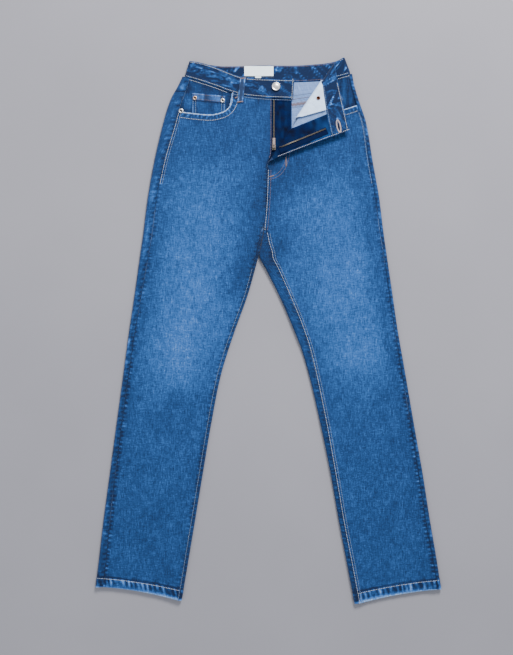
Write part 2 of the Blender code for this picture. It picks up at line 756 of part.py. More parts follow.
def waistband():
    """One strip: along the right front, round the right corner, along the back, round the left corner,
    and along the left front, whose end turns over with the corner. It has the buttonhole's slit."""
    outer_face, inner_face = [], []
    middle_out = BAND_FRONT_RISE + HALF - BAND_THICK / 2

    def add_front(top, foot, side):
        plan = band_station(top, foot)
        outer_face.append(front_layer(plan[:, 0], plan[:, 1], middle_out + BAND_SOFT, side))
        inner_face.append(front_layer(plan[:, 0], plan[:, 1], middle_out - BAND_SOFT, side))

    def add_back(top, foot):
        plan = band_station(top, foot)
        z = np.full(len(plan), BAND_BACK_FLOOR + BAND_THICK / 2)
        middle = np.column_stack([plan, z])
        outer_face.append(middle - np.outer(BAND_SOFT, (0, 0, 1)))
        inner_face.append(middle + np.outer(BAND_SOFT, (0, 0, 1)))

    def add_corner(front_top, front_foot, back_top, back_foot, inward, side):
        front, back = band_station(front_top, front_foot), band_station(back_top, back_foot)
        high = front_layer(front[:, 0], front[:, 1], middle_out, side)[:, 2]
        low = np.full(len(back), BAND_BACK_FLOOR + BAND_THICK / 2)
        radius = (high - low) / 2
        for step in range(1, 6):
            angle = math.pi * step / 6
            share = step / 6
            plan = front * (1 - share) + back * share
            plan = plan - np.outer(radius * math.sin(angle), inward)
            middle = np.column_stack([plan, (high + low) / 2 + radius * math.cos(angle)])
            normal = np.array([*(-math.sin(angle) * np.array(inward)), math.cos(angle)])
            outer_face.append(middle + np.outer(BAND_SOFT, normal))
            inner_face.append(middle - np.outer(BAND_SOFT, normal))

    turn = 3.4
    long = 225.0
    for share in [0, 0.03, 0.1, 0.2, 0.3, 0.4, 0.5, 0.6, 0.7, 0.8, 0.88, 0.95, 1 - turn / long]:
        add_front(route(BAND_RIGHT_TOP, share), route(BAND_RIGHT_FOOT, share), "right")
    near, far = turn / 318.0, 1 - turn / 318.0
    ends = [route(BAND_RIGHT_TOP, 1 - turn / long), route(BAND_RIGHT_FOOT, 1 - turn / long)]
    backs = [route(BAND_BACK_TOP, near), route(BAND_BACK_FOOT, near)]
    add_corner(*ends, *backs, CORNER_RIGHT_IN, "right")
    for share in np.linspace(near, far, 17):
        add_back(route(BAND_BACK_TOP, share), route(BAND_BACK_FOOT, share))
    first = turn / 170.0
    ends = [route(BAND_LEFT_TOP, first), route(BAND_LEFT_FOOT, first)]
    backs = [route(BAND_BACK_TOP, far), route(BAND_BACK_FOOT, far)]
    before = len(outer_face)
    add_corner(*ends, *backs, CORNER_LEFT_IN, "left")
    outer_face[before:] = outer_face[before:][::-1]
    inner_face[before:] = inner_face[before:][::-1]
    fold_top, fold_foot = crossing(BAND_LEFT_TOP, 0), crossing(BAND_LEFT_FOOT, 0)
    for share in (0, 0.25, 0.5, 0.75):
        top = first + (fold_top - first) * share
        foot = first + (fold_foot - first) * share
        add_front(route(BAND_LEFT_TOP, top), route(BAND_LEFT_FOOT, foot), "left")
    for step in range(FOLD_STEPS + 1):
        distance = math.pi * FOLD_RADIUS * step / FOLD_STEPS
        top, foot = crossing(BAND_LEFT_TOP, distance), crossing(BAND_LEFT_FOOT, distance)
        add_front(route(BAND_LEFT_TOP, top), route(BAND_LEFT_FOOT, foot), "left")
    slit_row = len(outer_face) + 3
    for share in (0.2, 0.4, 0.6, *SLIT_SHARES, 0.97, 1):
        at_top, at_foot = top + (1 - top) * share, foot + (1 - foot) * share
        add_front(route(BAND_LEFT_TOP, at_top), route(BAND_LEFT_FOOT, at_foot), "left")
    return wall("waistband", np.array(outer_face), np.array(inner_face), denim(), slit=(slit_row, 2))


def back_pocket(side):
    """A patch pocket on the seat, flat on the surface that the jeans lie on."""
    inner, outer, top, length = BACK_POCKETS[side]
    centre, half = (inner + outer) / 2, abs(outer - inner) / 2
    rim = [(-1, 0), (-0.5, 0), (0, 0), (0.5, 0), (1, 0)]
    foot = [(-0.9, -0.83), (-0.45, -0.915), (0, -1), (0.45, -0.915), (0.9, -0.83)]
    first = [(centre + x * half, top + y * length) for x, y in rim]
    last = [(centre + x * half, top + y * length) for x, y in foot]
    plan = ruled(first, last, 4)
    upper = np.dstack([plan, np.full(plan.shape[:2], POCKET_THICK)])
    lower = np.dstack([plan, np.zeros(plan.shape[:2])])
    return wall("back_pocket_" + side, upper, lower, denim())


def back_loop(name, x, y_high, y_low):
    """A belt loop under the back of the waistband."""
    plan = strip(x - LOOP_WIDTH / 2, x + LOOP_WIDTH / 2, y_high, y_low, 4)
    upper = np.dstack([plan, np.full(plan.shape[:2], LOOP_THICK)])
    lower = np.dstack([plan, np.zeros(plan.shape[:2])])
    return wall(name, upper, lower, denim())


def front_loop(name, top_point, foot_point, side):
    """A belt loop over the front of the waistband, leaning from its top to its foot."""
    top, foot = np.array(top_point), np.array(foot_point)
    run = (foot - top) / np.linalg.norm(foot - top)
    beside = np.array([-run[1], run[0]]) * LOOP_WIDTH / 2
    plan = np.array([[p - beside, p + beside] for p in np.linspace(top, foot, 7)])
    return front_piece(name, plan, denim(), top=1.1 + LOOP_THICK, foot=1.1, side=side)


def turned(name, centre, profile, finish, sides=24):
    """A solid turned about an upright line: profile is radius and height from its foot to its top."""
    points, faces = [], []
    for radius, height in profile:
        for k in range(sides):
            angle = 2 * math.pi * k / sides
            points.append(np.array(centre) + (radius * math.cos(angle), radius * math.sin(angle), height))
    for r in range(len(profile) - 1):
        for k in range(sides):
            a, b = r * sides + k, r * sides + (k + 1) % sides
            faces += [(a, b, b + sides), (a, b + sides, a + sides)]
    last = len(points)
    points += [np.array(centre) + (0, 0, profile[0][1]), np.array(centre) + (0, 0, profile[-1][1])]
    top_ring = (len(profile) - 1) * sides
    for k in range(sides):
        nxt = (k + 1) % sides
        faces += [(last, nxt, k), (last + 1, top_ring + k, top_ring + nxt)]
    return closed_mesh(name, points, faces, finish, 30)


def blocks(name, xs, ys, zs, filled, place, tilt, finish):
    """A solid of filled cells on a small grid, its points turned by tilt about the x axis and moved."""
    cells = [(i, j, k) for i in range(len(xs) - 1) for j in range(len(ys) - 1) for k in range(len(zs) - 1)]
    cells = {cell for cell in cells if filled(*cell)}
    index, points, faces = {}, [], []

    def corner(i, j, k):
        if (i, j, k) not in index:
            index[(i, j, k)] = len(points)
            y = ys[j] * math.cos(tilt) - zs[k] * math.sin(tilt)
            z = ys[j] * math.sin(tilt) + zs[k] * math.cos(tilt)
            points.append(np.array(place) + (xs[i], y, z))
        return index[(i, j, k)]

    steps = {0: ((0, 1, 0), (0, 0, 1)), 1: ((1, 0, 0), (0, 0, 1)), 2: ((1, 0, 0), (0, 1, 0))}
    for cell in sorted(cells):
        for axis, (u, v) in steps.items():
            for way in (0, 1):
                beyond = list(cell)
                beyond[axis] += 1 if way else -1
                if tuple(beyond) in cells:
                    continue
                start = list(cell)
                start[axis] += way
                a = corner(*start)
                b = corner(*(s + d for s, d in zip(start, u)))
                c = corner(*(s + d + e for s, d, e in zip(start, u, v)))
                d = corner(*(s + e for s, e in zip(start, v)))
                faces += [(a, b, c), (a, c, d)]
    return closed_mesh(name, points, faces, finish, 20)


def slider_and_pull():
    """The slider with its arch, and the tab whose end bar hangs in the arch."""
    base = front_layer(*SLIDER_PLACE, 0.0, "right")
    body = {
        "xs": (-3.5, -0.8, 0.8, 3.5),
        "ys": (-5.0, -2.6, -1.7, 1.7, 2.6, 5.0),
        "zs": (-0.6, 1.2, BAR_HEIGHT + 0.8, BAR_HEIGHT + 1.6),
    }

    def body_filled(i, j, k):
        if k == 0:
            return True
        return i == 1 and (j in (1, 3) if k == 1 else j in (1, 2, 3))

    blocks("zip_slider", **body, filled=body_filled, place=base, tilt=0.0, finish=brass())
    tab = {
        "xs": (-2.6, -1.4, 1.4, 2.6),
        "ys": (-BAR_RADIUS, BAR_RADIUS, 5.5, PULL_LENGTH),
        "zs": (-0.5, 0.5),
    }

    def tab_filled(i, j, k):
        return not (i == 1 and j == 1)

    hinge = base + (0, 0, BAR_HEIGHT)
    pull = blocks("zip_pull", **tab, filled=tab_filled, place=(0, 0, 0), tilt=-PULL_TILT, finish=brass())
    pull.location = [float(c) * MM for c in hinge]
    return pull


def fly():
    """The shield behind the fly, the facing inside the left edge, and both sides of the zip."""
    shield = read_table(SHIELD_OUTER)
    low, wide, rows = np.full(len(shield["y"]), SHIELD_INNER_X), shield["x"], shield["y"]
    plan = np.array([[(a + (b - a) * s, y) for s in (0, 0.3, 0.6, 1)] for a, b, y in zip(low, wide, rows)])
    plan[0, :, 1] = line_y(BAND_RIGHT_FOOT, plan[0, :, 0]) - SEAM
    front_piece("fly_shield", plan, dark_denim(), top=-2.2, foot=-3.4, side="right")
    facing = read_table(FLY_FACING_OUTER)
    wide, rows = facing["x"], facing["y"]
    low = column(CENTRE, "left_front", rows) + 0.5
    plan = np.array([[(a + (b - a) * s, y) for s in (0, 0.34, 0.67, 1)] for a, b, y in zip(low, wide, rows)])
    plan[0, :, 1] = line_y(BAND_LEFT_FOOT, plan[0, :, 0]) - SEAM
    front_piece("fly_facing", plan, dark_denim(), top=-0.9, foot=-1.9, side="left")
    for side in ("right", "left"):
        front_piece("zip_tape_" + side, strip(*TAPE_BOX[side], 6, 2), zip_cloth(), *TAPE_FACES[side], side)
        front_piece("zip_teeth_" + side, strip(*TEETH_BOX[side], 5), brass(), *TEETH_FACES[side], side)


def metal():
    """The shank button and the rivets."""
    top = front_layer(*BUTTON_PLACE, BAND_FRONT_RISE + HALF + SEAM, "right")
    button = [(4.2, 0), (4.2, 0.4), (2.6, 0.6), (2.6, 1.8), (7.6, 2.0), (8.5, 2.5), (8.5, 3.1), (7.7, 3.7),
              (4.0, 3.5)]
    turned("waist_button", top, button, nickel(), 32)
    for name, (x, y, out, side, radius) in RIVETS.items():
        profile = [(radius * share, height) for share, height in RIVET_CAP]
        finish = copper() if name in COPPER_RIVETS else nickel()
        turned(name, front_layer(x, y, out, side), profile, finish, 20)


def labels():
    """The label and the size tab on the inside of the back waistband."""
    level = BAND_BACK_FLOOR + BAND_THICK + SEAM
    places = (("waist_label", LABEL_BOX, 0.8), ("size_tab", TAB_BOX, 0.6))
    for name, (x_low, x_high, y_high, y_low), thick in places:
        plan = strip(x_low, x_high, y_high, y_low, 2, 6)
        upper = np.dstack([plan, np.full(plan.shape[:2], level + thick)])
        lower = np.dstack([plan, np.full(plan.shape[:2], level)])
        wall(name, upper, lower, label_weave())


def build():
    for old in list(bpy.data.objects):
        bpy.data.objects.remove(old)
    for side in ("right", "left"):
        front_piece("front_" + side, front_plan(side), denim(), side=side, extra=hem_extra(side))
        back_panel(side)
        yoke(side)
        pocket_facing(side)
        back_pocket(side)
    coin = np.array([[(x, y) for x in np.linspace(*COIN_POCKET[:2], 8)]
                     for y in np.linspace(*COIN_POCKET[2:], 7)])
    coin[:, :, 1] += (coin[:, :, 0] - COIN_POCKET[0]) * COIN_SLOPE
    front_piece("coin_pocket", coin, denim(), top=-0.9, foot=-1.85, side="right")
    pocket_bag()
    waistband()
    fly()
    slider_and_pull()
    metal()
    labels()
    for side, (top, foot) in FRONT_LOOPS.items():
        front_loop("loop_front_" + side, top, foot, side)
    for name, (x, y_high, y_low) in BACK_LOOPS.items():
        back_loop("loop_back_" + name, x, y_high, y_low)
    garment = [o for o in bpy.data.objects if o.type == "MESH"]
    bpy.context.view_layer.update()
    corners = np.array([tuple(o.matrix_world @ v.co) for o in garment for v in o.data.vertices])
    low, high = corners.min(axis=0), corners.max(axis=0)
    shift = (-(low[0] + high[0]) / 2, -(low[1] + high[1]) / 2, -low[2])
    for piece in garment:
        if piece.name == "zip_pull":
            piece.location = [a + b for a, b in zip(piece.location, shift)]
        else:
            for vertex in piece.data.vertices:
                vertex.co = [a + b for a, b in zip(vertex.co, shift)]


build()
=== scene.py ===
"""The looks of slim straight jeans that lie flat on their back, with the fly open and the wearer's left
front corner folded outward. Run as a script in Blender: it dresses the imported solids, one piece each.

Sizes are in millimetres until a mesh is made. +X runs to the wearer's left, +Y to the waist, +Z up.
"""

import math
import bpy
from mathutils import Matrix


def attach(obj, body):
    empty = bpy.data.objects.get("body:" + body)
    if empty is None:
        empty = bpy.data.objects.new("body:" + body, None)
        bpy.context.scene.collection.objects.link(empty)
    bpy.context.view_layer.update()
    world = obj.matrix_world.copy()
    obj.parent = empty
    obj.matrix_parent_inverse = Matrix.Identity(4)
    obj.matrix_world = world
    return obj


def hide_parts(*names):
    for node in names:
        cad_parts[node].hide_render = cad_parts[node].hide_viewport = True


bl_info = {
    "name": "Jeans laid flat",
    "version": (1, 0, 0),
    "blender": (4, 5, 0),
    "location": "3D View > Sidebar > Jeans",
    "description": "Dresses flat-laid denim jeans piece by piece: cloth, seams, stitches and metal",
    "category": "Add Mesh",
}

import bmesh
import bpy
import numpy as np
from mathutils import Vector

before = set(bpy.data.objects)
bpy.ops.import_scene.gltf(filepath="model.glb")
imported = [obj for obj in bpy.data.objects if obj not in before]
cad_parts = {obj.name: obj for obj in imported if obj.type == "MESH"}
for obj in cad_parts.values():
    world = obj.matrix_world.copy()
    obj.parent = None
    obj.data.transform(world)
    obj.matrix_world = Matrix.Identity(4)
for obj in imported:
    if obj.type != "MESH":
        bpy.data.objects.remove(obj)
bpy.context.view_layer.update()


MM = 0.001

# Cloth
DENIM = 1.2
HALF = DENIM / 2
SEAM = 0.3
HEM_DEPTH = 21.5
HEM_EXTRA = 1.5
BAND_THICK = 2.6
BAND_WIDE = 35.0
LOOP_THICK = 1.3
LOOP_WIDTH = 12.0

# Metal
BUTTON_PLACE = (16.2, 495.0)

# The fly: where its seam ends, and the turned-over corner
FLY_SEAM_END = 333.0
FOLD_START = np.array([10.8, 346.7])
FOLD_ACROSS = np.array([-0.8305, 0.557])
FOLD_RADIUS = 4.5
FLAP_LIFT = 2.5
FOLD_RIDGE = 1.9
FOLD_RIDGE_REACH = 32.0

# The way of x from the middle to each outer side
OUTWARD = {"right": -1, "left": 1}

# Sections of the outline. y, the outer edges of the two legs, and how far the outseams lie in from them
SIDES = """
y     right_edge left_edge right_outseam left_outseam
 520  -170.5     169.8     13            6
 500  -179.5     173.5     18            6.5
 470  -196.5     182.5     24            7
 420  -212       198.9     24            7
 345  -229.8     211.5     20            8
 265  -243.8     225.5     18            8
 200  -252       233.6     18            7.5
 155  -258.4     240.1     17            6.5
  80  -269       251       14            6.5
   5  -280       262       12            6.5
 -90  -293       278.5     10.5          7
-190  -306.7     295.6     10.5          7
-285  -319.5     312.4     11            8.5
-385  -333       328       13            9
-480  -344       344       14.5          7.5
-560  -354       355.5     15            7
"""

# The inner edges of the legs below the crotch, and how far the inseams lie in from them
INSIDES = """
y     right_edge left_edge right_inseam left_inseam
 201  -9.9       -8.2      4.9          4.9
 178  -14.4      -12.7     5.2          14
 155  -19.1      -17.4     5.6          25
 125  -27        -3.5      6            24
  80  -39.5      19.5      6            21
   5  -66.3      52        6.5          19
 -40  -81.5      69.5      7            16
 -90  -96.2      84        7            13.5
-190  -116       107.3     7            10.7
-285  -132       126.7     7            8.5
-385  -148.5     144.3     7            8
-480  -164.3     162.2     7            8.5
-560  -177.9     177.6     7            8
"""

# Centre front edges of the two fronts, and the centre back seam
CENTRES = """
y     right_front left_front back
 516  7.5         -5.5       -19
 476  7.5         -4.2       -19
 400  7.5         -2.4       -18
 372  7.5         -2.0       -17
 356  6           -1.6       -17
 345  1.6         -1.4       -16
 333  -2.2        -1.2       -16
 286  -3          -2.4       -14
 250  -4.6        -4         -12
 216  -9.4        -8.7       -9.5
 201  -14.5       -3.7       -9.1
"""

# Heights of the outer face: in the middle of a layer, and on the rolled edges
HEIGHTS = """
y     middle edge
 556  7.4    10.6
 480  7.0    9.8
 400  6.8    9.2
 300  6.6    8.6
 200  6.2    8.2
 100  5.6    7.8
-100  5.3    7.4
-400  5.4    7.4
-490  6.0    8.0
-560  6.6    8.4
"""

# Soft creases in the fronts: middle, direction in degrees, half length, half width, height
CREASES = """
x     y    turn  reach width rise
-60   395  -8    52    7     0.8
-95   350  -4    60    8     -0.7
 70   318  9     62    8     0.8
 95   275  6     66    9     -0.7
 28   212  38    34    7     0.9
 52   190  30    40    8     -0.8
-48   205  -34   36    7     0.8
-170  150  4     46    9     0.7
 165  95   -6    52    9     0.7
-190  -20  12    44    10    -0.6
 190  -60  -14   46    10    0.6
-235  -250 -10   48    10    0.6
 240  -300 12    48    10    -0.6
"""
BULGE_REACH = 22.0
FLY_BUMP = (14.0, 362.0, 40.0, 62.0, 1.8)

# Waistband edges from the right end to the corner, along the back, and from the left corner to the end
BAND_RIGHT_TOP = [(52.8, 509), (0, 510.5), (-40.6, 512.4), (-60.9, 516.6), (-77, 522.7), (-97.4, 530.8),
                  (-117.7, 538), (-138.6, 543.5), (-158.2, 546)]
BAND_RIGHT_FOOT = [(50.8, 470.6), (-6, 472.8), (-40.6, 476.2), (-77, 485.2), (-104.5, 495.3), (-132, 504.5),
                   (-168, 514.6)]
BAND_BACK_TOP = [(-158.2, 546), (-115.7, 539.2), (-88, 536.6), (-48.7, 537), (-12.2, 538.6), (44.7, 538),
                 (105.6, 541.6), (132, 545.5), (152.9, 553.7)]
BAND_BACK_FOOT = [(-168, 514.6), (-120, 508), (-60, 505.5), (0, 505), (60, 505.5), (112, 508), (145, 514),
                  (166.1, 520.4)]
BAND_LEFT_TOP = [(152.9, 553.7), (138, 545), (110, 537), (60, 528), (0, 517.8), (-5.5, 516.6)]
BAND_LEFT_FOOT = [(166.1, 520.4), (140, 513.6), (111.7, 506), (60, 492.6), (20, 484), (-4.2, 480)]
FRONT_FEET = {"right": BAND_RIGHT_FOOT, "left": BAND_LEFT_FOOT}
# Both ends of the buttonhole's slit, as shares of the turned-over end of the waistband
SLIT_SHARES = (0.81, 0.93)
# How far from its ends each stretch stops for the turn of a corner, and the lengths of the stretches
CORNER_TURN = 3.4
BAND_LENGTHS = {"right": 225.0, "back": 318.0, "left": 170.0}
CORNER_RIGHT_IN = (0.955, -0.296)
CORNER_LEFT_IN = (-0.93, -0.369)
BAND_BACK_FLOOR = 1.6
BAND_FRONT_RISE = 0.2

# Pocket mouths, from the outseam to the waist seam
MOUTHS = {
    "right": [(-180, 445), (-143, 440.5), (-118, 438.7), (-93.4, 443.5), (-79.4, 453.7), (-74, 466.9),
              (-73, 485.7)],
    "left": [(178.5, 457), (152.3, 449), (126, 443.5), (105.6, 448.5), (93.4, 459.7), (88.6, 474),
             (88, 499.6)],
}
YOKE_SIDE_Y = 484.0
YOKE_CENTRE_Y = 456.0
YOKE_DEPTH = 28

# Back pockets: inner and outer top corners' x, top y, length to the point
BACK_POCKETS = {"right": (-52.0, -186.0, 434.0, 148.0), "left": (18.0, 152.0, 434.0, 148.0)}
POCKET_THICK = 1.0
POCKET_LIFT = 1.3

# Where the back panels begin to turn up at the crotch
CROTCH_Y = 201.0
CROTCH_TURN = math.radians(22.0)

# The yoke's top: y at the two sides, and the centre back seam's place
YOKE_TOP = {"right": 514.0, "left": 519.6, "centre_x": -19.0, "centre_y": 505.1}

# Hidden edges of the pocket facings, the coin pocket and the pocket bag
FACINGS = {
    "right": [(-176, 422), (-140, 414), (-112, 414), (-80, 422), (-58, 440), (-51, 460), (-50, 478)],
    "left": [(168, 432), (140, 424), (115, 421), (88, 430), (72, 446), (66, 466), (65, 493)],
}
COIN_POCKET = (-154.0, -86.5, 482.5, 424.0)
COIN_SLOPE = -0.09
COIN_HEM = 13.5
BAG_INNER_X = 60.0
BAG_INNER_TOP_X = 50.0
BAG_OUTER_X = 129.0
BAG_PAST_FOLD = 10.0
SHIELD_INNER_X = -14.0
SHIELD_OUTER = """
y     x
474.5 48
452   48
430   48
405   48
382   44
364   36
352   24
347   16
"""

# The outer edge of the fly facing, on the inside of the wearer's left front
FLY_FACING_OUTER = """
y     x
482   42
455   42
430   42
405   42
385   38
368   28
355   18
"""

# Both sides of the zip: x of the two long edges, y of the top and the foot, then how far the two faces
# lie out from the middle of the front's cloth
TAPE_BOX = {"right": (1.0, 15.5, 470.0, 364.0), "left": (4.0, 18.0, 476.0, 372.0)}
TAPE_FACES = {"right": (-0.9, -1.9), "left": (-2.2, -3.2)}
TEETH_BOX = {"right": (9.8, 14.2, 468.5, 377.5), "left": (13.0, 17.4, 475.0, 385.0)}
TEETH_FACES = {"right": (0.8, -0.6), "left": (-3.5, -4.9)}

# Rivets: x, y, how far the foot lies out from the middle of the front's cloth, the side, and the radius
RIVETS = {
    "rivet_side_right": (-176.0, 445.5, 1.2, "right", 4.7),
    "rivet_coin_side": (-148.0, 472.3, -0.6, "right", 4.3),
    "rivet_coin_centre": (-91.9, 467.4, -0.6, "right", 4.4),
    "rivet_back_left": (77.6, 484.4, -5.1, "left", 3.9),
}
COPPER_RIVETS = ("rivet_coin_side", "rivet_back_left")

# Labels: lowest and highest x, then the top and the foot
LABEL_BOX = (-48.0, 11.0, 536.8, 516.8)
TAB_BOX = (-26.0, -14.0, 516.4, 512.8)

# Belt loops at the back: x, top and foot
BACK_LOOPS = {"right": (-98.0, 536.5, 492.0), "centre": (-19.0, 536.5, 490.0), "left": (72.0, 537.5, 492.0)}
FRONT_LOOPS = {"right": ((-50.6, 515.5), (-56.4, 463.0)), "left": ((62.0, 530.0), (58.0, 480.0))}

# Hems: outer and inner corner of each leg
HEMS = {"right": [(-349.4, -518.7), (-176.0, -545.2)], "left": [(350.0, -523.0), (176.5, -551.8)]}

# How far the middle of each leg's lower edge rises above the line between its corners, and the height
# over which the arch dies out
HEM_ARCH = {"right": 4.6, "left": 4.0}
ARCH_REACH = 60.0


def read_table(text):
    """The columns of a small table, by name."""
    lines = [line.split() for line in text.strip().splitlines()]
    rows = np.array([[float(word) for word in line] for line in lines[1:]])
    return {name: rows[:, i] for i, name in enumerate(lines[0])}


def smooth(keys, values, at):
    """A curve through the values with no overshoot, at any keys; straight beyond its ends."""
    order = np.argsort(keys)
    k, v = np.asarray(keys, float)[order], np.asarray(values, float)[order]
    at = np.asarray(at, float)
    steps = np.diff(k)
    slopes = np.diff(v) / steps
    tangents = np.empty_like(v)
    tangents[0], tangents[-1] = slopes[0], slopes[-1]
    for i in range(1, len(v) - 1):
        before, after = slopes[i - 1], slopes[i]
        weigh_1 = 2 * steps[i] + steps[i - 1]
        weigh_2 = steps[i] + 2 * steps[i - 1]
        same_way = before * after > 0
        tangents[i] = (weigh_1 + weigh_2) / (weigh_1 / before + weigh_2 / after) if same_way else 0.0
    cell = np.clip(np.searchsorted(k, at, side="right") - 1, 0, len(k) - 2)
    t = (at - k[cell]) / steps[cell]
    inside = np.clip(t, 0, 1)
    h = inside
    value = (
        v[cell] * (1 + 2 * h) * (1 - h) ** 2
        + tangents[cell] * steps[cell] * h * (1 - h) ** 2
        + v[cell + 1] * h**2 * (3 - 2 * h)
        + tangents[cell + 1] * steps[cell] * h**2 * (h - 1)
    )
    beyond = np.where(t < 0, t * tangents[cell], 0) + np.where(t > 1, (t - 1) * tangents[cell + 1], 0)
    return value + beyond * steps[cell]


SIDE, INSIDE, CENTRE = read_table(SIDES), read_table(INSIDES), read_table(CENTRES)
HEIGHT, CREASE = read_table(HEIGHTS), read_table(CREASES)


def column(table, name, y):
    """One column of a table at y."""
    return smooth(table["y"], table[name], y)


def route(points, shares):
    """Points at the given shares of the way along a smooth line through points."""
    points = np.array(points, float)
    run = np.concatenate([[0], np.cumsum(np.linalg.norm(np.diff(points, axis=0), axis=1))])
    at = np.asarray(shares, float) * run[-1]
    return np.stack([smooth(run, points[:, 0], at), smooth(run, points[:, 1], at)], axis=-1)


def ease(t):
    """0 below 0, 1 above 1, and a soft step between."""
    t = np.clip(t, 0, 1)
    return t * t * (3 - 2 * t)


def bell(distance, width):
    """1 at no distance, falling to 0 over a few widths."""
    return np.exp(-((np.asarray(distance, float) / width) ** 2))


def lobes(table, last, x, y):
    """Sum of the long soft spots that a table lists."""
    total = np.zeros(np.shape(x))
    columns = [table[name] for name in ("x", "y", "turn", "reach", "width", last)]
    for cx, cy, turn, reach, width, value in zip(*columns):
        angle = math.radians(turn)
        along = (x - cx) * math.cos(angle) + (y - cy) * math.sin(angle)
        across = (y - cy) * math.cos(angle) - (x - cx) * math.sin(angle)
        total = total + value * np.exp(-((along / reach) ** 2) - (across / width) ** 2)
    return total


def edge_radius(y):
    """Radius of the rolled side edge, to the middle of the cloth."""
    return (column(HEIGHT, "edge", y) - DENIM) / 2


def fold_distance(x, y):
    """How far a plan point lies past the line where the left corner starts to turn over."""
    return (x - FOLD_START[0]) * FOLD_ACROSS[0] + (y - FOLD_START[1]) * FOLD_ACROSS[1]


def front_height(x, y, side):
    """Height of the middle of the front cloth over a plan point, with the fly closed flat."""
    x, y = np.asarray(x, float), np.asarray(y, float)
    middle = column(HEIGHT, "middle", y) - HALF
    rise = column(HEIGHT, "edge", y) - HALF - middle
    radius = edge_radius(y)
    bulge = 0
    for inboard in (x - column(SIDE, "right_edge", y), column(SIDE, "left_edge", y) - x):
        bulge = bulge + bell(np.maximum(inboard - radius, 0), BULGE_REACH)
    if side == "right":
        inboard = column(INSIDE, "right_edge", y) - x
    else:
        inboard = x - column(INSIDE, "left_edge", y)
    leg = ease((235 - y) / 60)
    bulge = bulge + leg * bell(np.maximum(inboard - radius, 0), BULGE_REACH)
    cx, cy, wide, long, high = FLY_BUMP
    fly = high * np.exp(-(((x - cx) / wide) ** 2) - ((y - cy) / long) ** 2)
    ridge = 0
    if side == "left":
        ridge = FOLD_RIDGE * bell(fold_distance(x, y), FOLD_RIDGE_REACH) * ease((y - 335) / 70)
    return middle + rise * np.minimum(bulge, 1.2) + fly + ridge + lobes(CREASE, "rise", x, y)


def front_layer(x, y, out, side):
    """Place of a point of the front, out millimetres above the middle of its cloth, with the left
    corner turned over on a roll of FOLD_RADIUS."""
    x, y, out = np.broadcast_arrays(np.asarray(x, float), np.asarray(y, float), np.asarray(out, float))
    flat = np.stack([x, y, front_height(x, y, side) + out], axis=-1)
    if side == "right":
        return flat
    past = fold_distance(x, y)
    foot = np.stack([x - past * FOLD_ACROSS[0], y - past * FOLD_ACROSS[1]], axis=-1)
    angle = np.clip(past / FOLD_RADIUS, 0, math.pi)
    beyond = np.maximum(past - math.pi * FOLD_RADIUS, 0)
    across = (FOLD_RADIUS - out) * np.sin(angle) - beyond
    turned = foot + across[..., None] * FOLD_ACROSS
    ground = front_height(foot[..., 0], foot[..., 1], side)
    landed = front_height(turned[..., 0], turned[..., 1], side)
    share = ease(beyond / 20)
    rise = FOLD_RADIUS - (FOLD_RADIUS - out) * np.cos(angle)
    lift = FLAP_LIFT * ease(beyond / 80)
    high = ground * (1 - share) + landed * share + rise + lift
    rolled = np.concatenate([turned, high[..., None]], axis=-1)
    return np.where(past[..., None] > 0, rolled, flat)


def back_lift(x, y):
    """Height of the underside of the back: flat on the surface, but over the pockets and the loops."""
    x, y = np.asarray(x, float), np.asarray(y, float)
    lift = BAND_BACK_FLOOR * ease((y - 468) / 18)
    for inner, outer, top, length in BACK_POCKETS.values():
        low_x, high_x = min(inner, outer), max(inner, outer)
        away_x = np.maximum(low_x - x, x - high_x)
        away_y = np.maximum(top - length - y, y - top)
        lift = np.maximum(lift, POCKET_LIFT * ease(1.35 - np.maximum(away_x, away_y) / 26))
    return lift


def hem_line(side, share):
    """A point of the leg's lower edge, from its outer corner to its inner one."""
    outer, inner = (np.array(p) for p in HEMS[side])
    return outer + (inner - outer) * share


def arched(points):
    """The points, moved up where the lower edge of a leg arches."""
    moved = np.array(points, float)
    x, y = moved[..., 0], moved[..., 1]
    for side, rise in HEM_ARCH.items():
        outer, inner = hem_line(side, 0), hem_line(side, 1)
        share = np.clip((x - outer[0]) / (inner[0] - outer[0]), 0, 1)
        above = y - (outer[1] + (inner[1] - outer[1]) * share)
        moved[..., 1] += rise * np.sin(math.pi * share) * ease(1 - above / ARCH_REACH)
    return moved


def row_heights(side):
    """For each row of a leg's panels: y on the outer edge and y on the inner one. The rows follow the
    yoke at the top, pass level through the crotch, and follow the hem at the foot."""
    outer = [433, 416, 396, 372, 345, 332, 318, 290, 255, 222, 205, 190, 170, 148, 115, 75, 30, -20, -75,
             -130, -190, -250, -310, -370, -425, -470]
    inner = [448, 424, 398, 371, 345, 333, 317, 290, 252, 216, 201, 186, 168, 147, 115, 76, 30, -21, -77,
             -134, -196, -258, -320, -382, -440, -488]
    for up in (HEM_DEPTH + 8, HEM_DEPTH, HEM_DEPTH - 4, 0):
        outer.append(hem_line(side, 0)[1] + up)
        inner.append(hem_line(side, 1)[1] + up)
    return np.array(outer, float), np.array(inner, float)


def outseam_x(side, y):
    """x of the outseam, on the front."""
    return column(SIDE, side + "_edge", y) - OUTWARD[side] * column(SIDE, side + "_outseam", y)


def inseam_x(side, y):
    """x of the inseam, on the front."""
    return column(INSIDE, side + "_edge", y) + OUTWARD[side] * column(INSIDE, side + "_inseam", y)


def front_inner_x(side, y):
    """x of a front panel's inner side: the centre front down to the crotch, then the inseam."""
    return np.where(y > CROTCH_Y, column(CENTRE, side + "_front", y), inseam_x(side, y))


def line_y(points, x):
    """y of a line given by points, at x."""
    xs, ys = np.array(points, float).T
    return smooth(xs, ys, x)


def crossing(line, distance):
    """How far along a line the turned-over roll has turned through that distance."""
    shares = np.linspace(0, 1, 401)
    places = route(line, shares)
    return float(np.interp(distance, fold_distance(places[:, 0], places[:, 1]), shares))


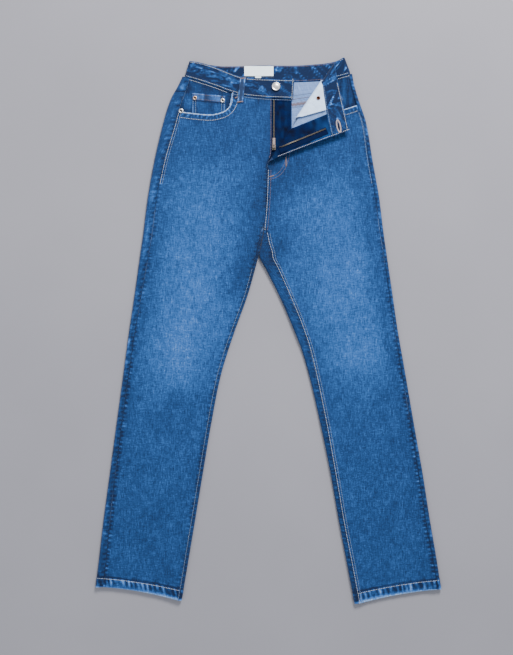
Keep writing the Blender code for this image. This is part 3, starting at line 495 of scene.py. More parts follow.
# The garment's place in the frame: its box's middle is the origin
SHIFT = np.array([-0.7462, -1.0627, 0.0])
GARMENT = "garment"


def wander(x, y, size, seed):
    """Smooth noise from -1 to 1 with lumps of that size."""
    x, y = np.broadcast_arrays(np.asarray(x, float) / size, np.asarray(y, float) / size)
    ix, iy = np.floor(x), np.floor(y)
    fx, fy = x - ix, y - iy
    fx, fy = fx * fx * (3 - 2 * fx), fy * fy * (3 - 2 * fy)

    def lattice(a, b):
        value = np.sin(a * 127.1 + b * 311.7 + seed * 74.7) * 43758.5453
        return (value - np.floor(value)) * 2 - 1

    low = lattice(ix, iy) * (1 - fx) + lattice(ix + 1, iy) * fx
    high = lattice(ix, iy + 1) * (1 - fx) + lattice(ix + 1, iy + 1) * fx
    return low * (1 - fy) + high * fy


def away_from(line, x, y):
    """Distance of points from a line of straight parts, and how far along the line each one is."""
    line = np.array(line, float)
    shape = np.shape(x)
    points = np.stack([np.ravel(x), np.ravel(y)], axis=-1)
    best = np.full(len(points), 1e9)
    along = np.zeros(len(points))
    run = 0.0
    for start, end in zip(line[:-1], line[1:]):
        step = end - start
        length = float(np.linalg.norm(step))
        t = np.clip((points - start) @ step / length**2, 0, 1)
        distance = np.linalg.norm(points - start - t[:, None] * step, axis=1)
        nearer = distance < best
        best[nearer] = distance[nearer]
        along[nearer] = run + t[nearer] * length
        run += length
    return best.reshape(shape), along.reshape(shape)


def shares_between(count, *insets):
    """Shares from 0 to 1, evenly spaced, with extra ones close to each end for a soft edge."""
    low = list(insets)
    middle = np.linspace(insets[-1] if insets else 0, 1 - (insets[-1] if insets else 0), count)
    return np.unique(np.round(np.concatenate([[0], low, middle, [1 - i for i in low], [1]]), 6))


# Meshes


def plain_object(name, mesh, finish, *, body=GARMENT, replaces=()):
    """The finished piece: in the scene, on its body, standing for its solids."""
    mesh.materials.clear()
    mesh.materials.append(finish)
    made = bpy.data.objects.new(name, mesh)
    bpy.context.scene.collection.objects.link(made)
    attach(made, body)
    if replaces:
        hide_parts(*replaces)
    return made


def shell_mesh(name, outer, inner, uv, wear, reverse=1.0, face=0.0, slit=None):
    """A closed sheet of cloth between two sets of points, with its cloth coordinates, its wear, and how
    much of the reverse side each face shows."""
    rows, columns = outer.shape[:2]
    r, c = np.meshgrid(np.arange(rows - 1), np.arange(columns - 1), indexing="ij")
    keep = np.ones(r.shape, bool)
    if slit is not None:
        r0, r1, c0, c1 = slit
        keep[r0:r1, c0:c1] = False
    a = (r * columns + c)[keep]
    quads = np.stack([a, a + 1, a + 1 + columns, a + columns], axis=-1)
    outer, inner = outer.reshape(-1, 3), inner.reshape(-1, 3)
    count = len(outer)
    sides = np.concatenate([quads[:, [0, 1]], quads[:, [1, 2]], quads[:, [2, 3]], quads[:, [3, 0]]])
    low, high = sides.min(axis=1).astype(np.int64), sides.max(axis=1).astype(np.int64)
    key = low * (count + 1) + high
    _, first, times = np.unique(key, return_index=True, return_counts=True)
    rim = sides[first[times == 1]]
    rim_faces = np.stack([rim[:, 1], rim[:, 0], rim[:, 0] + count, rim[:, 1] + count], axis=-1)
    faces = np.concatenate([quads, quads[:, ::-1] + count, rim_faces])
    points = (arched(np.concatenate([outer, inner])) + SHIFT) * MM
    used = np.unique(faces)
    number = np.full(len(points), -1)
    number[used] = np.arange(len(used))
    mesh = bpy.data.meshes.new(name)
    mesh.from_pydata(points[used].tolist(), [], number[faces].tolist())
    form = bmesh.new()
    form.from_mesh(mesh)
    if form.calc_volume(signed=True) < 0:
        bmesh.ops.reverse_faces(form, faces=form.faces[:])
        form.to_mesh(mesh)
    form.free()
    per_loop = np.empty(len(mesh.loops), np.int64)
    mesh.loops.foreach_get("vertex_index", per_loop)
    both = np.concatenate([uv.reshape(-1, 2)] * 2)[used] * MM
    layer = mesh.uv_layers.new(name="cloth")
    layer.data.foreach_set("uv", both[per_loop].astype(np.float32).ravel())
    # the wear attribute also carries painted shade: below the turned-over corner, under the waistband, along
    # the open fly, the loop sides and the bag creases
    for label, on_faces in (("wear", (wear, wear)), ("reverse", (face, reverse))):
        values = np.concatenate([np.ravel(np.broadcast_to(shown, (rows, columns))) for shown in on_faces])
        attribute = mesh.attributes.new(label, "FLOAT", "POINT")
        attribute.data.foreach_set("value", values[used].astype(np.float32))
    mesh.shade_smooth()
    mesh.set_sharp_from_angle(angle=math.radians(50))
    return mesh


def edge_soft(shares, length, depth=1.2):
    """Share of the thickness at each place across, so that cut and folded edges are round."""
    near = np.minimum(shares, 1 - shares) * length
    return 0.35 + 0.65 * np.sqrt(np.clip(near / depth, 0, 1))


def soft_rim(shape, first, second):
    """Share of the thickness over a plan grid: first on its rim, second one row in, then all of it."""
    soft = np.ones(shape)
    for strength, rim in ((first, 0), (second, 1)):
        soft[rim], soft[-1 - rim] = strength, strength
        soft[:, rim], soft[:, -1 - rim] = strength, strength
    return soft


def denim_piece(name, mesh, node):
    """A finished piece of denim that stands for one solid."""
    return plain_object(name, mesh, denim_finish(), replaces=(node,))


def declare_cloth(piece):
    """Reads the cloth coordinates of a piece; nothing more is done with them."""
    uv = np.empty(len(piece.data.loops) * 2, np.float32)
    piece.data.uv_layers["cloth"].data.foreach_get("uv", uv)
    uv = uv.reshape(-1, 2)


# Fine forms of the cloth: folds too small for the solids, and the wear that they take


def seam_relief(distance, along, seed, pucker=0.45, reach=6.0, groove=0.4, pitch=8.5):
    """Height and wear beside a sewn seam: a groove at the seam, then a puckered ridge."""
    ripple = 0.65 * np.sin(along * 2 * math.pi / pitch + 2.2 * wander(along, 0, 34, seed))
    ripple = ripple + 0.6 * wander(along, distance * 0.5, 6.0, seed + 1)
    ridge = bell(distance - 0.45 * reach, 0.55 * reach)
    height = pucker * ripple * ridge - groove * bell(distance, 0.9)
    wear = (0.22 * ripple - 0.07) * ridge - 0.10 * bell(distance, 1.2)
    return height, wear


# How far the wash has faded the front, down each leg: y, then the share of the full fade and the place of
# its middle, from the outer seam to the inner, for each side
FADES = """
y     right right_middle left  left_middle
540   0.00  0.45         0.00  0.45
440  -0.10  0.42        -0.02  0.42
368   0.02  0.36         0.06  0.40
266   0.52  0.42         0.44  0.42
185   0.60  0.42         0.52  0.38
104   0.66  0.46         0.66  0.46
23    0.74  0.52         0.64  0.48
-59   0.76  0.52         0.68  0.46
-104  0.58  0.52         0.42  0.46
-142  0.18  0.52         0.14  0.46
-240  0.08  0.50         0.06  0.50
-440  0.02  0.50         0.02  0.50
-560  0.00  0.50         0.00  0.50
"""

# Places that are darker than the cloth about them; the rows at 30, 300 and 60, 330 are painted shadow below
# the turned-over corner, and -60, 478 painted shade under the waistband
SHADES = """
x     y     turn  reach width shade
-14   260   80    90    26    -0.10
30    300   50    60    30    -0.06
60    330   -20   80    40    -0.06
 6    150   60    60    22    -0.12
-46   130   60    60    20    -0.10
-60   478   -10   90    16    -0.08
-240  100   80    300   16    -0.05
 232  60    -80   320   16    -0.06
"""

FINE_CREASES = """
x     y     turn  reach width depth
 12   226   62    26    3.2   0.9
-22   214   -58   28    3.4   0.9
-34   178   -62   30    3.0   0.7
 24   182   50    26    3.0   0.7
 46   262   22    34    4.0   0.6
-58   262   -26   38    4.5   0.5
-150  330   6     38    4.5   0.4
-188  372   14    20    3.5   0.6
-196  300   -8    24    4.0   0.5
 178  352   -10   26    3.5   0.6
 182  300   12    24    4.0   0.5
 120  330   16    44    4.5   0.5
-236  60    14    26    4.0   0.5
 232  30    -16   28    4.0   0.5
-70   -10   40    20    3.5   0.5
 66   -20   -38   22    3.5   0.5
-262  -170  -12   30    4.5   0.4
 258  -230  14    30    4.5   0.4
-96   430   -12   40    4.0   0.5
-40   300   68    34    4.0   0.4
"""

FADE, SHADE, FINE = read_table(FADES), read_table(SHADES), read_table(FINE_CREASES)
FADE_STEP = 0.25
FADE_WIDTH = 0.46


def side_fade(side, x, y):
    """How far the wash has faded one leg, from 0 to 1."""
    outer, inner = outseam_x(side, y), front_inner_x(side, y)
    across = (x - outer) / (inner - outer)
    middle = smooth(-FADE["y"], FADE[side + "_middle"], -y)
    return smooth(-FADE["y"], FADE[side], -y) * bell(across - middle, FADE_WIDTH)


def wash_and_painted_shade(x, y, side):
    """The washed look of the garment from above: pale thighs, darker sides, uneven in small patches; painted
    shadow under the turned-over corner and the waistband.
    """
    x, y = np.broadcast_arrays(np.asarray(x, float), np.asarray(y, float))
    # lobes of the SHADE table: painted shadow below the turned-over corner and under the waistband, with the
    # other darker places
    fade = FADE_STEP * side_fade(side, x, y) + lobes(SHADE, "shade", x, y)
    fade = fade + 0.020 * wander(x, y, 46, 3) + 0.020 * wander(x, y * 0.6, 15, 4)
    return fade + 0.030 * wander(x, y * 0.35, 5.5, 5) + 0.022 * wander(x * 0.35, y, 5.5, 6)


def broad_relief(x, y):
    """Small waves that the whole cloth has, and its fine creases."""
    fine = lobes(FINE, "depth", x, y)
    waves = 0.55 * wander(x, y, 70, 11) + 0.28 * wander(x, y * 0.7, 28, 12) + 0.07 * wander(x, y, 9, 13)
    return fine + waves


def hem_distance(side, x, y):
    """How far above the lower edge of the leg."""
    outer, inner = hem_line(side, 0), hem_line(side, 1)
    return y - (outer[1] + (inner[1] - outer[1]) * (x - outer[0]) / (inner[0] - outer[0]))


def hem_extra(side, x, y):
    """How much thicker, inwards, the turned-up hem makes the cloth."""
    return HEM_EXTRA * ease((HEM_DEPTH - hem_distance(side, x, y)) / 3 + 0.5)


def mouth_distance(side, x, y):
    """Distance of points from the pocket mouth, and how far along it each one is."""
    return away_from(route(MOUTHS[side], np.linspace(0, 1, 30)), x, y)


def hem_relief(side, x, y, seed):
    """Height and wear of the turned-up hem: twisted ripples, a worn lower edge, a step at its top."""
    up = hem_distance(side, x, y)
    on = ease((HEM_DEPTH - up) / 1.4 + 0.5)
    twist = np.sin((x + 0.30 * up) * 2 * math.pi / 10.5 + 2.6 * wander(x, 0, 24, seed))
    twist = 0.65 * twist + 0.75 * wander(x, up * 0.35, 4.6, seed + 1) + 0.3 * wander(x, up, 17, seed + 3)
    height = on * (0.45 + 0.38 * twist)
    edge = bell(up, 3.0)
    inside = ease((up - 3.5) / 3) * on
    wear = inside * (0.36 * twist - 0.05) + edge * 0.52 + 0.20 * bell(up - HEM_DEPTH + 2, 2.0)
    wear = wear - 0.45 * bell(up - HEM_DEPTH - 1.6, 1.7)
    above = bell(up - HEM_DEPTH - 5, 5)
    height = height + 0.22 * above * wander(x, 0, 8, seed + 2)
    return height, wear + 0.10 * above * wander(x, 0, 7, seed + 2)


def front_relief(side, x, y):
    """Height and wear of a front panel over its plan; the wear also carries painted shade."""
    seed = 20 if side == "right" else 40
    height = broad_relief(x, y)
    wear = wash_and_painted_shade(x, y, side)
    outer = np.abs(x - outseam_x(side, y))
    more, worn = seam_relief(outer, y, seed, 0.34, 6.5)
    height, wear = height + more, wear + worn * (1 + 0.8 * ease((60 - y) / 200))
    leg = y < CROTCH_Y
    inner = np.abs(x - front_inner_x(side, y))
    more, worn = seam_relief(inner, y, seed + 3, 0.30, 6.0)
    rise_more, rise_worn = seam_relief(inner, y, seed + 3, 0.16, 5.0, 0.4)
    closed = (~leg) & (y < FLY_SEAM_END)
    height = height + np.where(leg, more, np.where(closed, rise_more, 0))
    wear = wear + np.where(leg, worn, np.where(closed, rise_worn, 0))
    near, along = mouth_distance(side, x, y)
    hem = bell(near - 5.5, 5.0)
    ripple = np.sin(along * 2 * math.pi / 6.2 + 1.5 * wander(along, 0, 22, seed + 6))
    height = height + 0.34 * ease((12.5 - near) / 1.5) + 0.30 * hem * ripple
    wear = wear + (0.30 * ripple - 0.06) * hem + 0.62 * bell(near - 0.8, 1.2) - 0.10 * bell(near - 14, 1.4)
    waist = line_y(FRONT_FEET[side], x) - y
    height = height - 0.5 * bell(waist, 1.6) + 0.22 * bell(waist - 7, 6) * wander(x, 0, 7.5, seed + 7)
    wear = wear - 0.26 * bell(waist, 3.0) + 0.16 * bell(waist - 7, 5) * wander(x, 0, 7, seed + 8)
    more, worn = hem_relief(side, x, y, seed + 10)
    height, wear = height + more, wear + worn
    # painted shade: the right front darkens along its centre edge above the end of the fly seam, beside the
    # open zip
    if side == "right":
        wear = wear - 0.30 * bell(inner, 3.0) * (y > FLY_SEAM_END)
    if side == "left":
        near, along = away_from(J_LINE, x, y)
        height = height + 0.18 * bell(near, 3.5) * wander(along, 0, 7, 61)
        wear = wear + 0.12 * bell(near - 2, 3) * (0.5 + wander(along, 0, 6, 62))
    return height, wear


J_LINE = [(40, 470), (39.5, 390), (38, 362), (34, 342), (26, 326), (14, 316), (2, 312.5)]


def row_at(side, t, with_yoke=False):
    """y on the outer and the inner side of a leg, t of the way from its first row to its last."""
    outer, inner = row_heights(side)
    if with_yoke:
        outer = np.concatenate([[YOKE_SIDE_Y - SEAM / 2, MOUTHS[side][0][1]], outer])
        inner = np.concatenate([[YOKE_CENTRE_Y - SEAM / 2, 452], inner])
    run = np.concatenate([[0], np.cumsum(np.abs(np.diff((outer + inner) / 2)))])
    at = np.asarray(t) * run[-1]
    return np.interp(at, run, outer), np.interp(at, run, inner)


PANEL_ROWS, PANEL_COLUMNS = 330, 70
BACK_ROWS = 340


def front_grid(side, rows, columns):
    """Plan grid of a front panel, fine enough for its seams and folds."""
    sign = OUTWARD[side]
    mouth = MOUTHS[side]
    foot = FRONT_FEET[side]
    shares = shares_between(columns, 0.002, 0.006)
    on_mouth = 0.5
    path = np.array(mouth, float)
    path[0, 0] = outseam_x(side, mouth[0][1]) - sign * SEAM / 2
    path[-1, 1] = line_y(foot, path[-1, 0]) - SEAM
    on_path = route(path, np.clip(shares / on_mouth, 0, 1))
    corner_x, centre_x = path[-1, 0], float(column(CENTRE, side + "_front", 476))
    xs = corner_x + (centre_x - corner_x) * np.clip((shares - on_mouth) / (1 - on_mouth), 0, 1)
    on_seam = np.stack([xs, line_y(foot, xs) - SEAM], axis=-1)
    top = np.where((shares < on_mouth)[:, None], on_path, on_seam)
    outer_y, inner_y = row_at(side, np.linspace(0, 1, rows))
    for ys in (outer_y, inner_y):
        ys[-3:] = [ys[-1] + 2.2, ys[-1] + 0.6, ys[-1]]
    outer = np.stack([outseam_x(side, outer_y) - sign * SEAM / 2, outer_y], axis=-1)
    inner = np.stack([front_inner_x(side, inner_y), inner_y], axis=-1)
    bend = top - (top[0] + (top[-1] - top[0]) * shares[:, None])
    keep = np.maximum(0.0, 1 - (445 - outer_y) / 130) ** 1.5
    body = outer[:, None] + (inner - outer)[:, None] * shares[None, :, None]
    body = body + bend[None] * keep[:, None, None]
    down = np.array([0, 0.04, 0.12, 0.3, 0.5, 0.7, 0.85])[:, None, None]
    return np.concatenate([top[None] + (body[0] - top)[None] * down, body])


def front_panel(side):
    """A front panel as worn cloth: fine relief on both faces, its reverse pale."""
    plan = front_grid(side, PANEL_ROWS, PANEL_COLUMNS)
    x, y = plan[..., 0], plan[..., 1]
    relief, wear = front_relief(side, x, y)
    soft = soft_rim(x.shape, 0.7, 0.95)
    outer = front_layer(x, y, HALF * soft + relief, side)
    inner = front_layer(x, y, relief * 0.8 - HALF * soft - hem_extra(side, x, y), side)
    turned = np.zeros(x.shape)
    if side == "left":
        turned = ease((14 - x + column(CENTRE, "left_front", y)) / 3) * ease((y - 332) / 5)
    name = "front_panel_" + side
    mesh = shell_mesh(name, outer, inner, plan, wear - 0.12 * turned, 1 - 0.95 * turned)
    return denim_piece(name, mesh, "front_" + side)


# Points of a section across a back piece: on the front, round the outer roll, below, and to its end
TOP_POINTS, ROLL_POINTS, UNDER_POINTS, TAIL_POINTS = 6, 11, 24, 19
ROLL_END = TOP_POINTS + ROLL_POINTS
UNDER_SHARES = np.linspace(0.04, 0.96, UNDER_POINTS)
ACROSS_FINE = np.concatenate([np.zeros(ROLL_END), UNDER_SHARES, np.ones(TAIL_POINTS)])
# The point of a section from which its cloth coordinates run, near the outer edge
EDGE_POINT = 8


def fine_section(side, outer_y, inner_y, extreme_x, turn, wrap):
    """One section across a back piece, as in the solids but finer, with the distance along the cloth
    and the distance of each point from the two seams."""
    sign = OUTWARD[side]
    edge = float(column(SIDE, side + "_edge", outer_y))
    guess = edge - sign * float(edge_radius(outer_y))
    top = float(front_height(guess, outer_y, side))
    floor = float(back_lift(guess, outer_y)) + HALF
    radius = (top - floor) / 2
    start = edge - sign * radius
    seam = float(outseam_x(side, outer_y)) + sign * SEAM / 2
    share = np.array([0, 0.05, 0.15, 0.3, 0.5, 0.75])
    x = seam + (start - seam) * share
    top_points = np.column_stack([x, np.full(TOP_POINTS, outer_y), front_height(x, outer_y, side)])
    top_normals = np.tile((0.0, 0.0, 1.0), (TOP_POINTS, 1))
    angle = math.pi * (0.5 - np.arange(ROLL_POINTS) / (ROLL_POINTS - 1))
    roll_x, roll_z = start + sign * radius * np.cos(angle), (top + floor) / 2 + radius * np.sin(angle)
    roll = np.column_stack([roll_x, np.full(ROLL_POINTS, outer_y), roll_z])
    roll_normals = np.column_stack([sign * np.cos(angle), np.zeros(ROLL_POINTS), np.sin(angle)])
    end_floor = float(back_lift(extreme_x, inner_y)) + HALF
    end_radius = (float(front_height(extreme_x, inner_y, side)) - end_floor) / 2
    arc = end_radius * turn
    straight = max(wrap, 0.6)
    reach = end_radius if turn > math.pi / 2 else end_radius * math.sin(turn)
    if turn < math.pi / 2:
        reach += (straight + max(arc, 2.5) - arc) * math.cos(turn)
    turn_x = extreme_x + sign * reach
    x = start + (turn_x - start) * UNDER_SHARES
    y = outer_y + (inner_y - outer_y) * UNDER_SHARES
    under = np.column_stack([x, y, back_lift(x, y) + HALF])
    under_normals = np.tile((0.0, 0.0, -1.0), (UNDER_POINTS, 1))
    bend_run = max(arc, 2.5)
    past_bend = straight * np.array([0.15, 0.3, 0.45, 0.6, 0.75, 0.88, 0.95, 1])
    runs = np.concatenate([bend_run * np.arange(0, 11) / 10, bend_run + past_bend])
    angle = np.minimum(runs, arc) / end_radius
    more = np.maximum(runs - arc, 0)
    x = turn_x - sign * (end_radius * np.sin(angle) + more * np.cos(angle))
    z = end_floor + end_radius * (1 - np.cos(angle)) + more * np.sin(angle)
    if turn > 3:
        z = np.where(more > 0, front_height(x, inner_y, side), z)
    tail = np.column_stack([x, np.full(TAIL_POINTS, inner_y), z])
    tail_normals = np.column_stack([-sign * np.sin(angle), np.zeros(TAIL_POINTS), -np.cos(angle)])
    points = np.concatenate([top_points, roll, under, tail])
    normals = np.concatenate([top_normals, roll_normals, under_normals, tail_normals])
    run = np.concatenate([[0], np.cumsum(np.linalg.norm(np.diff(points, axis=0), axis=1))])
    return points, normals, run


def back_relief(side, points, normals, run, leg):
    """Height, outwards, and wear of a back piece: puckered seams, and the washed look where it shows
    from above. Where it lies on the surface it is flat."""
    seed = 70 if side == "right" else 90
    x, y = points[:, 0], points[:, 1]
    up = np.clip(normals[:, 2] + 0.6, 0, 1)
    height, wear = np.zeros(len(x)), wash_and_painted_shade(x, y, side)
    more, worn = seam_relief(run, y, seed, 0.42, 8.0, pitch=9.0)
    height, wear = height + more, wear + worn
    abrasion = bell(run - 9, 3.5) if side == "right" else bell(run - 6, 2.5)
    broken = 0.25 + wander(y, run * 0.4, 6, seed + 4) + 0.4 * wander(y, 0, 34, seed + 5)
    wear = wear - 0.05 + 0.24 * abrasion * np.clip(broken, 0, 1.2)
    if leg:
        back = run[-1] - run
        more, worn = seam_relief(back, y, seed + 2, 0.36, 7.0, pitch=8.0)
        height, wear = height + more, wear + worn
        shown = bell(back - 10, 4.5) * (0.16 if side == "right" else 0.03)
        wear = wear - 0.03 + shown * np.clip(0.4 + 0.9 * wander(y, 0, 7, seed + 6), 0, 1.3)
    more, worn = hem_relief(side, x, y, seed + 8)
    return (height + more) * up + broad_relief(x, y) * np.clip(normals[:, 2], 0, 1), wear + worn


def back_stations(side, rows):
    """The section at each row of a back panel, from the yoke seam to the hem."""
    sign = OUTWARD[side]
    outer_y, inner_y = row_at(side, np.linspace(0, 1, rows), with_yoke=True)
    for yo, yi in zip(outer_y, inner_y):
        if yi > CROTCH_Y:
            turn = CROTCH_TURN * float(ease((240 - yi) / 22))
            turn = turn + (math.pi - CROTCH_TURN) * float(ease((211 - yi) / 9))
            clear = SEAM / 2 + HALF * math.sin(min(turn, 1.57))
            extreme = float(column(CENTRE, "back", yi)) + sign * clear
            if yi < 212:
                edge = float(column(INSIDE, side + "_edge", yi))
                share = float(ease((212 - yi) / 10))
                extreme = extreme * (1 - share) + edge * share
            wrap = 0.6
        else:
            turn = math.pi
            extreme = float(column(INSIDE, side + "_edge", yi))
            radius = (float(front_height(extreme, yi, side)) - HALF) / 2
            wrap = abs(float(inseam_x(side, yi)) - extreme) - radius - SEAM
        yield fine_section(side, yo, yi, extreme, turn, wrap) + (yi <= CROTCH_Y,)


def back_piece(name, node, sections):
    """A back piece from its sections: points, normals, run, relief, wear, and what its inner face adds."""
    outers, inners, uvs, wears = [], [], [], []
    for points, normals, run, relief, wear, extra in sections:
        soft = edge_soft(run / run[-1], run[-1])
        outers.append(points + normals * (HALF * soft + relief)[:, None])
        inners.append(points - normals * (HALF * soft + extra)[:, None])
        uvs.append(np.column_stack([points[EDGE_POINT, 0] + run, points[:, 1]]))
        wears.append(wear)
    outer = np.array(outers)
    outer[..., 2] = np.maximum(outer[..., 2], 0.0)
    return denim_piece(name, shell_mesh(name, outer, np.array(inners), np.array(uvs), np.array(wears)), node)


def back_panel(side):
    """A back panel, wrapped round both sides of its leg."""
    sections = []
    for points, normals, run, leg in back_stations(side, BACK_ROWS):
        relief, wear = back_relief(side, points, normals, run, leg)
        sections.append((points, normals, run, relief, wear, hem_extra(side, points[:, 0], points[:, 1])))
    return back_piece("back_panel_" + side, "back_" + side, sections)


def yoke(side):
    """A back yoke: its reverse shows through the open waist."""
    top_outer, top_inner = YOKE_TOP[side], YOKE_TOP["centre_y"]
    extreme = YOKE_TOP["centre_x"] + OUTWARD[side] * SEAM / 2
    sections = []
    for share in shares_between(24, 0.01, 0.04):
        yo = top_outer * (1 - share) + (YOKE_SIDE_Y + SEAM / 2) * share
        yi = top_inner * (1 - share) + (YOKE_CENTRE_Y + SEAM / 2) * share
        points, normals, run = fine_section(side, yo, yi, extreme, 0.0, 0.6)
        straight = top_outer + (top_inner - top_outer) * ACROSS_FINE
        in_front, behind = line_y(FRONT_FEET[side], points[:, 0]), line_y(BAND_BACK_FOOT, points[:, 0])
        seam = np.where(np.arange(len(points)) < 10, in_front, behind)
        points[:, 1] += (seam - 3 * SEAM - straight) * (1 - share)
        relief, wear = back_relief(side, points, normals, run, False)
        down = share * YOKE_DEPTH
        wear = wear - 0.25 * bell((1 - share) * YOKE_DEPTH, 3)
        wear = wear + 0.20 * bell(down - 17, 5) * bell(run - 8, 6) * (0.7 + wander(run, down, 4, 98))
        sections.append((points, normals, run, relief, wear, 0.0))
    return back_piece("yoke_panel_" + side, "yoke_" + side, sections)


def front_sheet(
    name, plan, finish, top, foot, side, node, *, slot="denim", detail=None, reverse=1.0, face=0.0
):
    """A smaller piece of the front from a fine plan grid."""
    x, y = plan[..., 0], plan[..., 1]
    height, wear = detail(x, y) if detail else (np.zeros(x.shape), np.zeros(x.shape))
    base = broad_relief(x, y)
    soft = soft_rim(x.shape, 0.45, 0.9)
    middle, half = (top + foot) / 2, (top - foot) / 2
    outer = front_layer(x, y, middle + half * soft + height + base * 0.8, side)
    inner = front_layer(x, y, middle - half * soft + height * 0.4 + base * 0.8, side)
    mesh = shell_mesh(name, outer, inner, plan, wear, reverse, face)
    return plain_object(name, mesh, finish, replaces=(node,))


def box_grid(x0, x1, y0, y1, across, along):
    """Plan grid of a box, with its columns and rows at those shares."""
    return np.dstack(np.meshgrid(x0 + (x1 - x0) * across, y0 + (y1 - y0) * along))


def pocket_facing(side):
    """The denim behind a pocket mouth, gathered a little where the pocket hangs."""
    hidden_line = route(FACINGS[side], np.linspace(0, 1, 70))
    ys = np.linspace(hidden_line[0][1], YOKE_TOP[side] - 2.5, 35)
    up_side = np.stack([outseam_x(side, ys) - OUTWARD[side] * SEAM, ys], axis=-1)
    xs = np.linspace(up_side[-1][0], hidden_line[-1][0], 36)[1:]
    rim = np.concatenate([up_side, np.stack([xs, line_y(FRONT_FEET[side], xs) - SEAM], axis=-1)])
    shares = shares_between(44, 0.004, 0.015)[:, None, None]
    plan = rim[None] * (1 - shares) + hidden_line[None] * shares

    def detail(x, y):
        near, _ = mouth_distance(side, x, y)
        inset, _ = away_from(rim, x, y)
        lift = 1.5 * ease((near - 8) / 16) * ease(1 - (inset - 60) / 30) * ease((14 - inset) / 14)
        height = lift + 0.35 * wander(x, y * 0.5, 16, 131) - 0.4 * bell(inset, 1.5)
        wear = -0.11 + 0.16 * wander(x, y * 0.3, 7, 133) - 0.22 * bell(near, 7)
        return height, wear - 0.15 * bell(inset, 5)

    name = "pocket_facing_cloth_" + side
    return front_sheet(name, plan, denim_finish(), -2.3, -3.3, side, "pocket_facing_" + side, detail=detail)


def coin_pocket():
    """The small pocket inside the right one, with a turned hem of a paler tone."""
    plan = box_grid(*COIN_POCKET, shares_between(40, 0.006, 0.02), shares_between(36, 0.008, 0.025))
    plan[..., 1] += (plan[..., 0] - COIN_POCKET[0]) * COIN_SLOPE

    def hem_of(x, y):
        down = COIN_POCKET[2] + (x - COIN_POCKET[0]) * COIN_SLOPE - y
        return down, ease((COIN_HEM - down) / 1.2 + 0.5)

    def detail(x, y):
        down, hem = hem_of(x, y)
        side = np.minimum(x - COIN_POCKET[0], COIN_POCKET[1] - x)
        ripple = wander(x, 0, 5.5, 141)
        height = 0.5 * hem + 0.25 * hem * ripple + 0.15 * bell(side - 2, 3) * wander(y, 0, 6, 142)
        wear = 0.20 * bell(down - 1, 1.6) + 0.20 * bell(side - 1, 2) + (0.36 * ripple - 0.10) * hem - 0.06
        return height, wear + 0.08 * wander(x, y * 0.4, 7, 143) - 0.30 * bell(down - 15, 1.6)

    face = 0.08 * hem_of(plan[..., 0], plan[..., 1])[1]
    return front_sheet("coin_pocket_cloth", plan, denim_finish(), -0.9, -1.85, "right", "coin_pocket",
                       detail=detail, face=face)


def pocket_bag():
    """The corner of the left pocket bag that the turned-over front shows."""
    across = shares_between(40, 0.006, 0.02)
    high_x = BAG_INNER_TOP_X + (BAG_OUTER_X - BAG_INNER_TOP_X) * across
    low_x = BAG_INNER_X + (BAG_OUTER_X - BAG_INNER_X) * across
    low_y = FOLD_START[1] + (-BAG_PAST_FOLD - (low_x - FOLD_START[0]) * FOLD_ACROSS[0]) / FOLD_ACROSS[1]
    high_y = line_y(BAND_LEFT_FOOT, high_x) - SEAM
    shares = shares_between(44, 0.006, 0.02)[:, None]
    plan = np.dstack([high_x * (1 - shares) + low_x * shares, high_y * (1 - shares) + low_y * shares])

    def detail(x, y):
        # Its wear is painted shade, in the pocketing's crease tone: a short dark crease near x 91.5, y 460,
        # dark lines along the soft creases, and darker patches
        edge = x - BAG_INNER_X
        soft = wander(x + 0.5 * y, y, 15, 151)
        short = bell(x - 91.5, 1.2) * bell(y - 460, 5.5)
        height = -0.8 * np.abs(soft) - 0.4 * bell(edge - 3, 3) - 0.5 * short
        return height, 0.55 * short + 0.16 * bell(soft, 0.16) + 0.10 * np.clip(wander(x, y, 9, 152), 0, 1)

    name, node = "pocket_bag_cloth", "pocket_bag_left"
    return front_sheet(name, plan, weave_finish("pocketing_cotton"), -3.75, -4.75, "left", node,
                       slot="cotton", detail=detail)


def fly_plan(edge, count, near, foot):
    """Plan grid of a piece of the fly: from x near, a function of y, to its edge, its top on a line."""
    rows = np.linspace(edge["y"][0], edge["y"][-1], count)
    wide, low = smooth(-edge["y"], edge["x"], -rows), near(rows)
    shares = shares_between(26, 0.01, 0.03)
    xs = low[:, None] + (wide - low)[:, None] * shares
    plan = np.dstack([xs, np.repeat(rows[:, None], len(shares), 1)])
    plan[0, :, 1] = line_y(foot, plan[0, :, 0]) - SEAM
    return plan


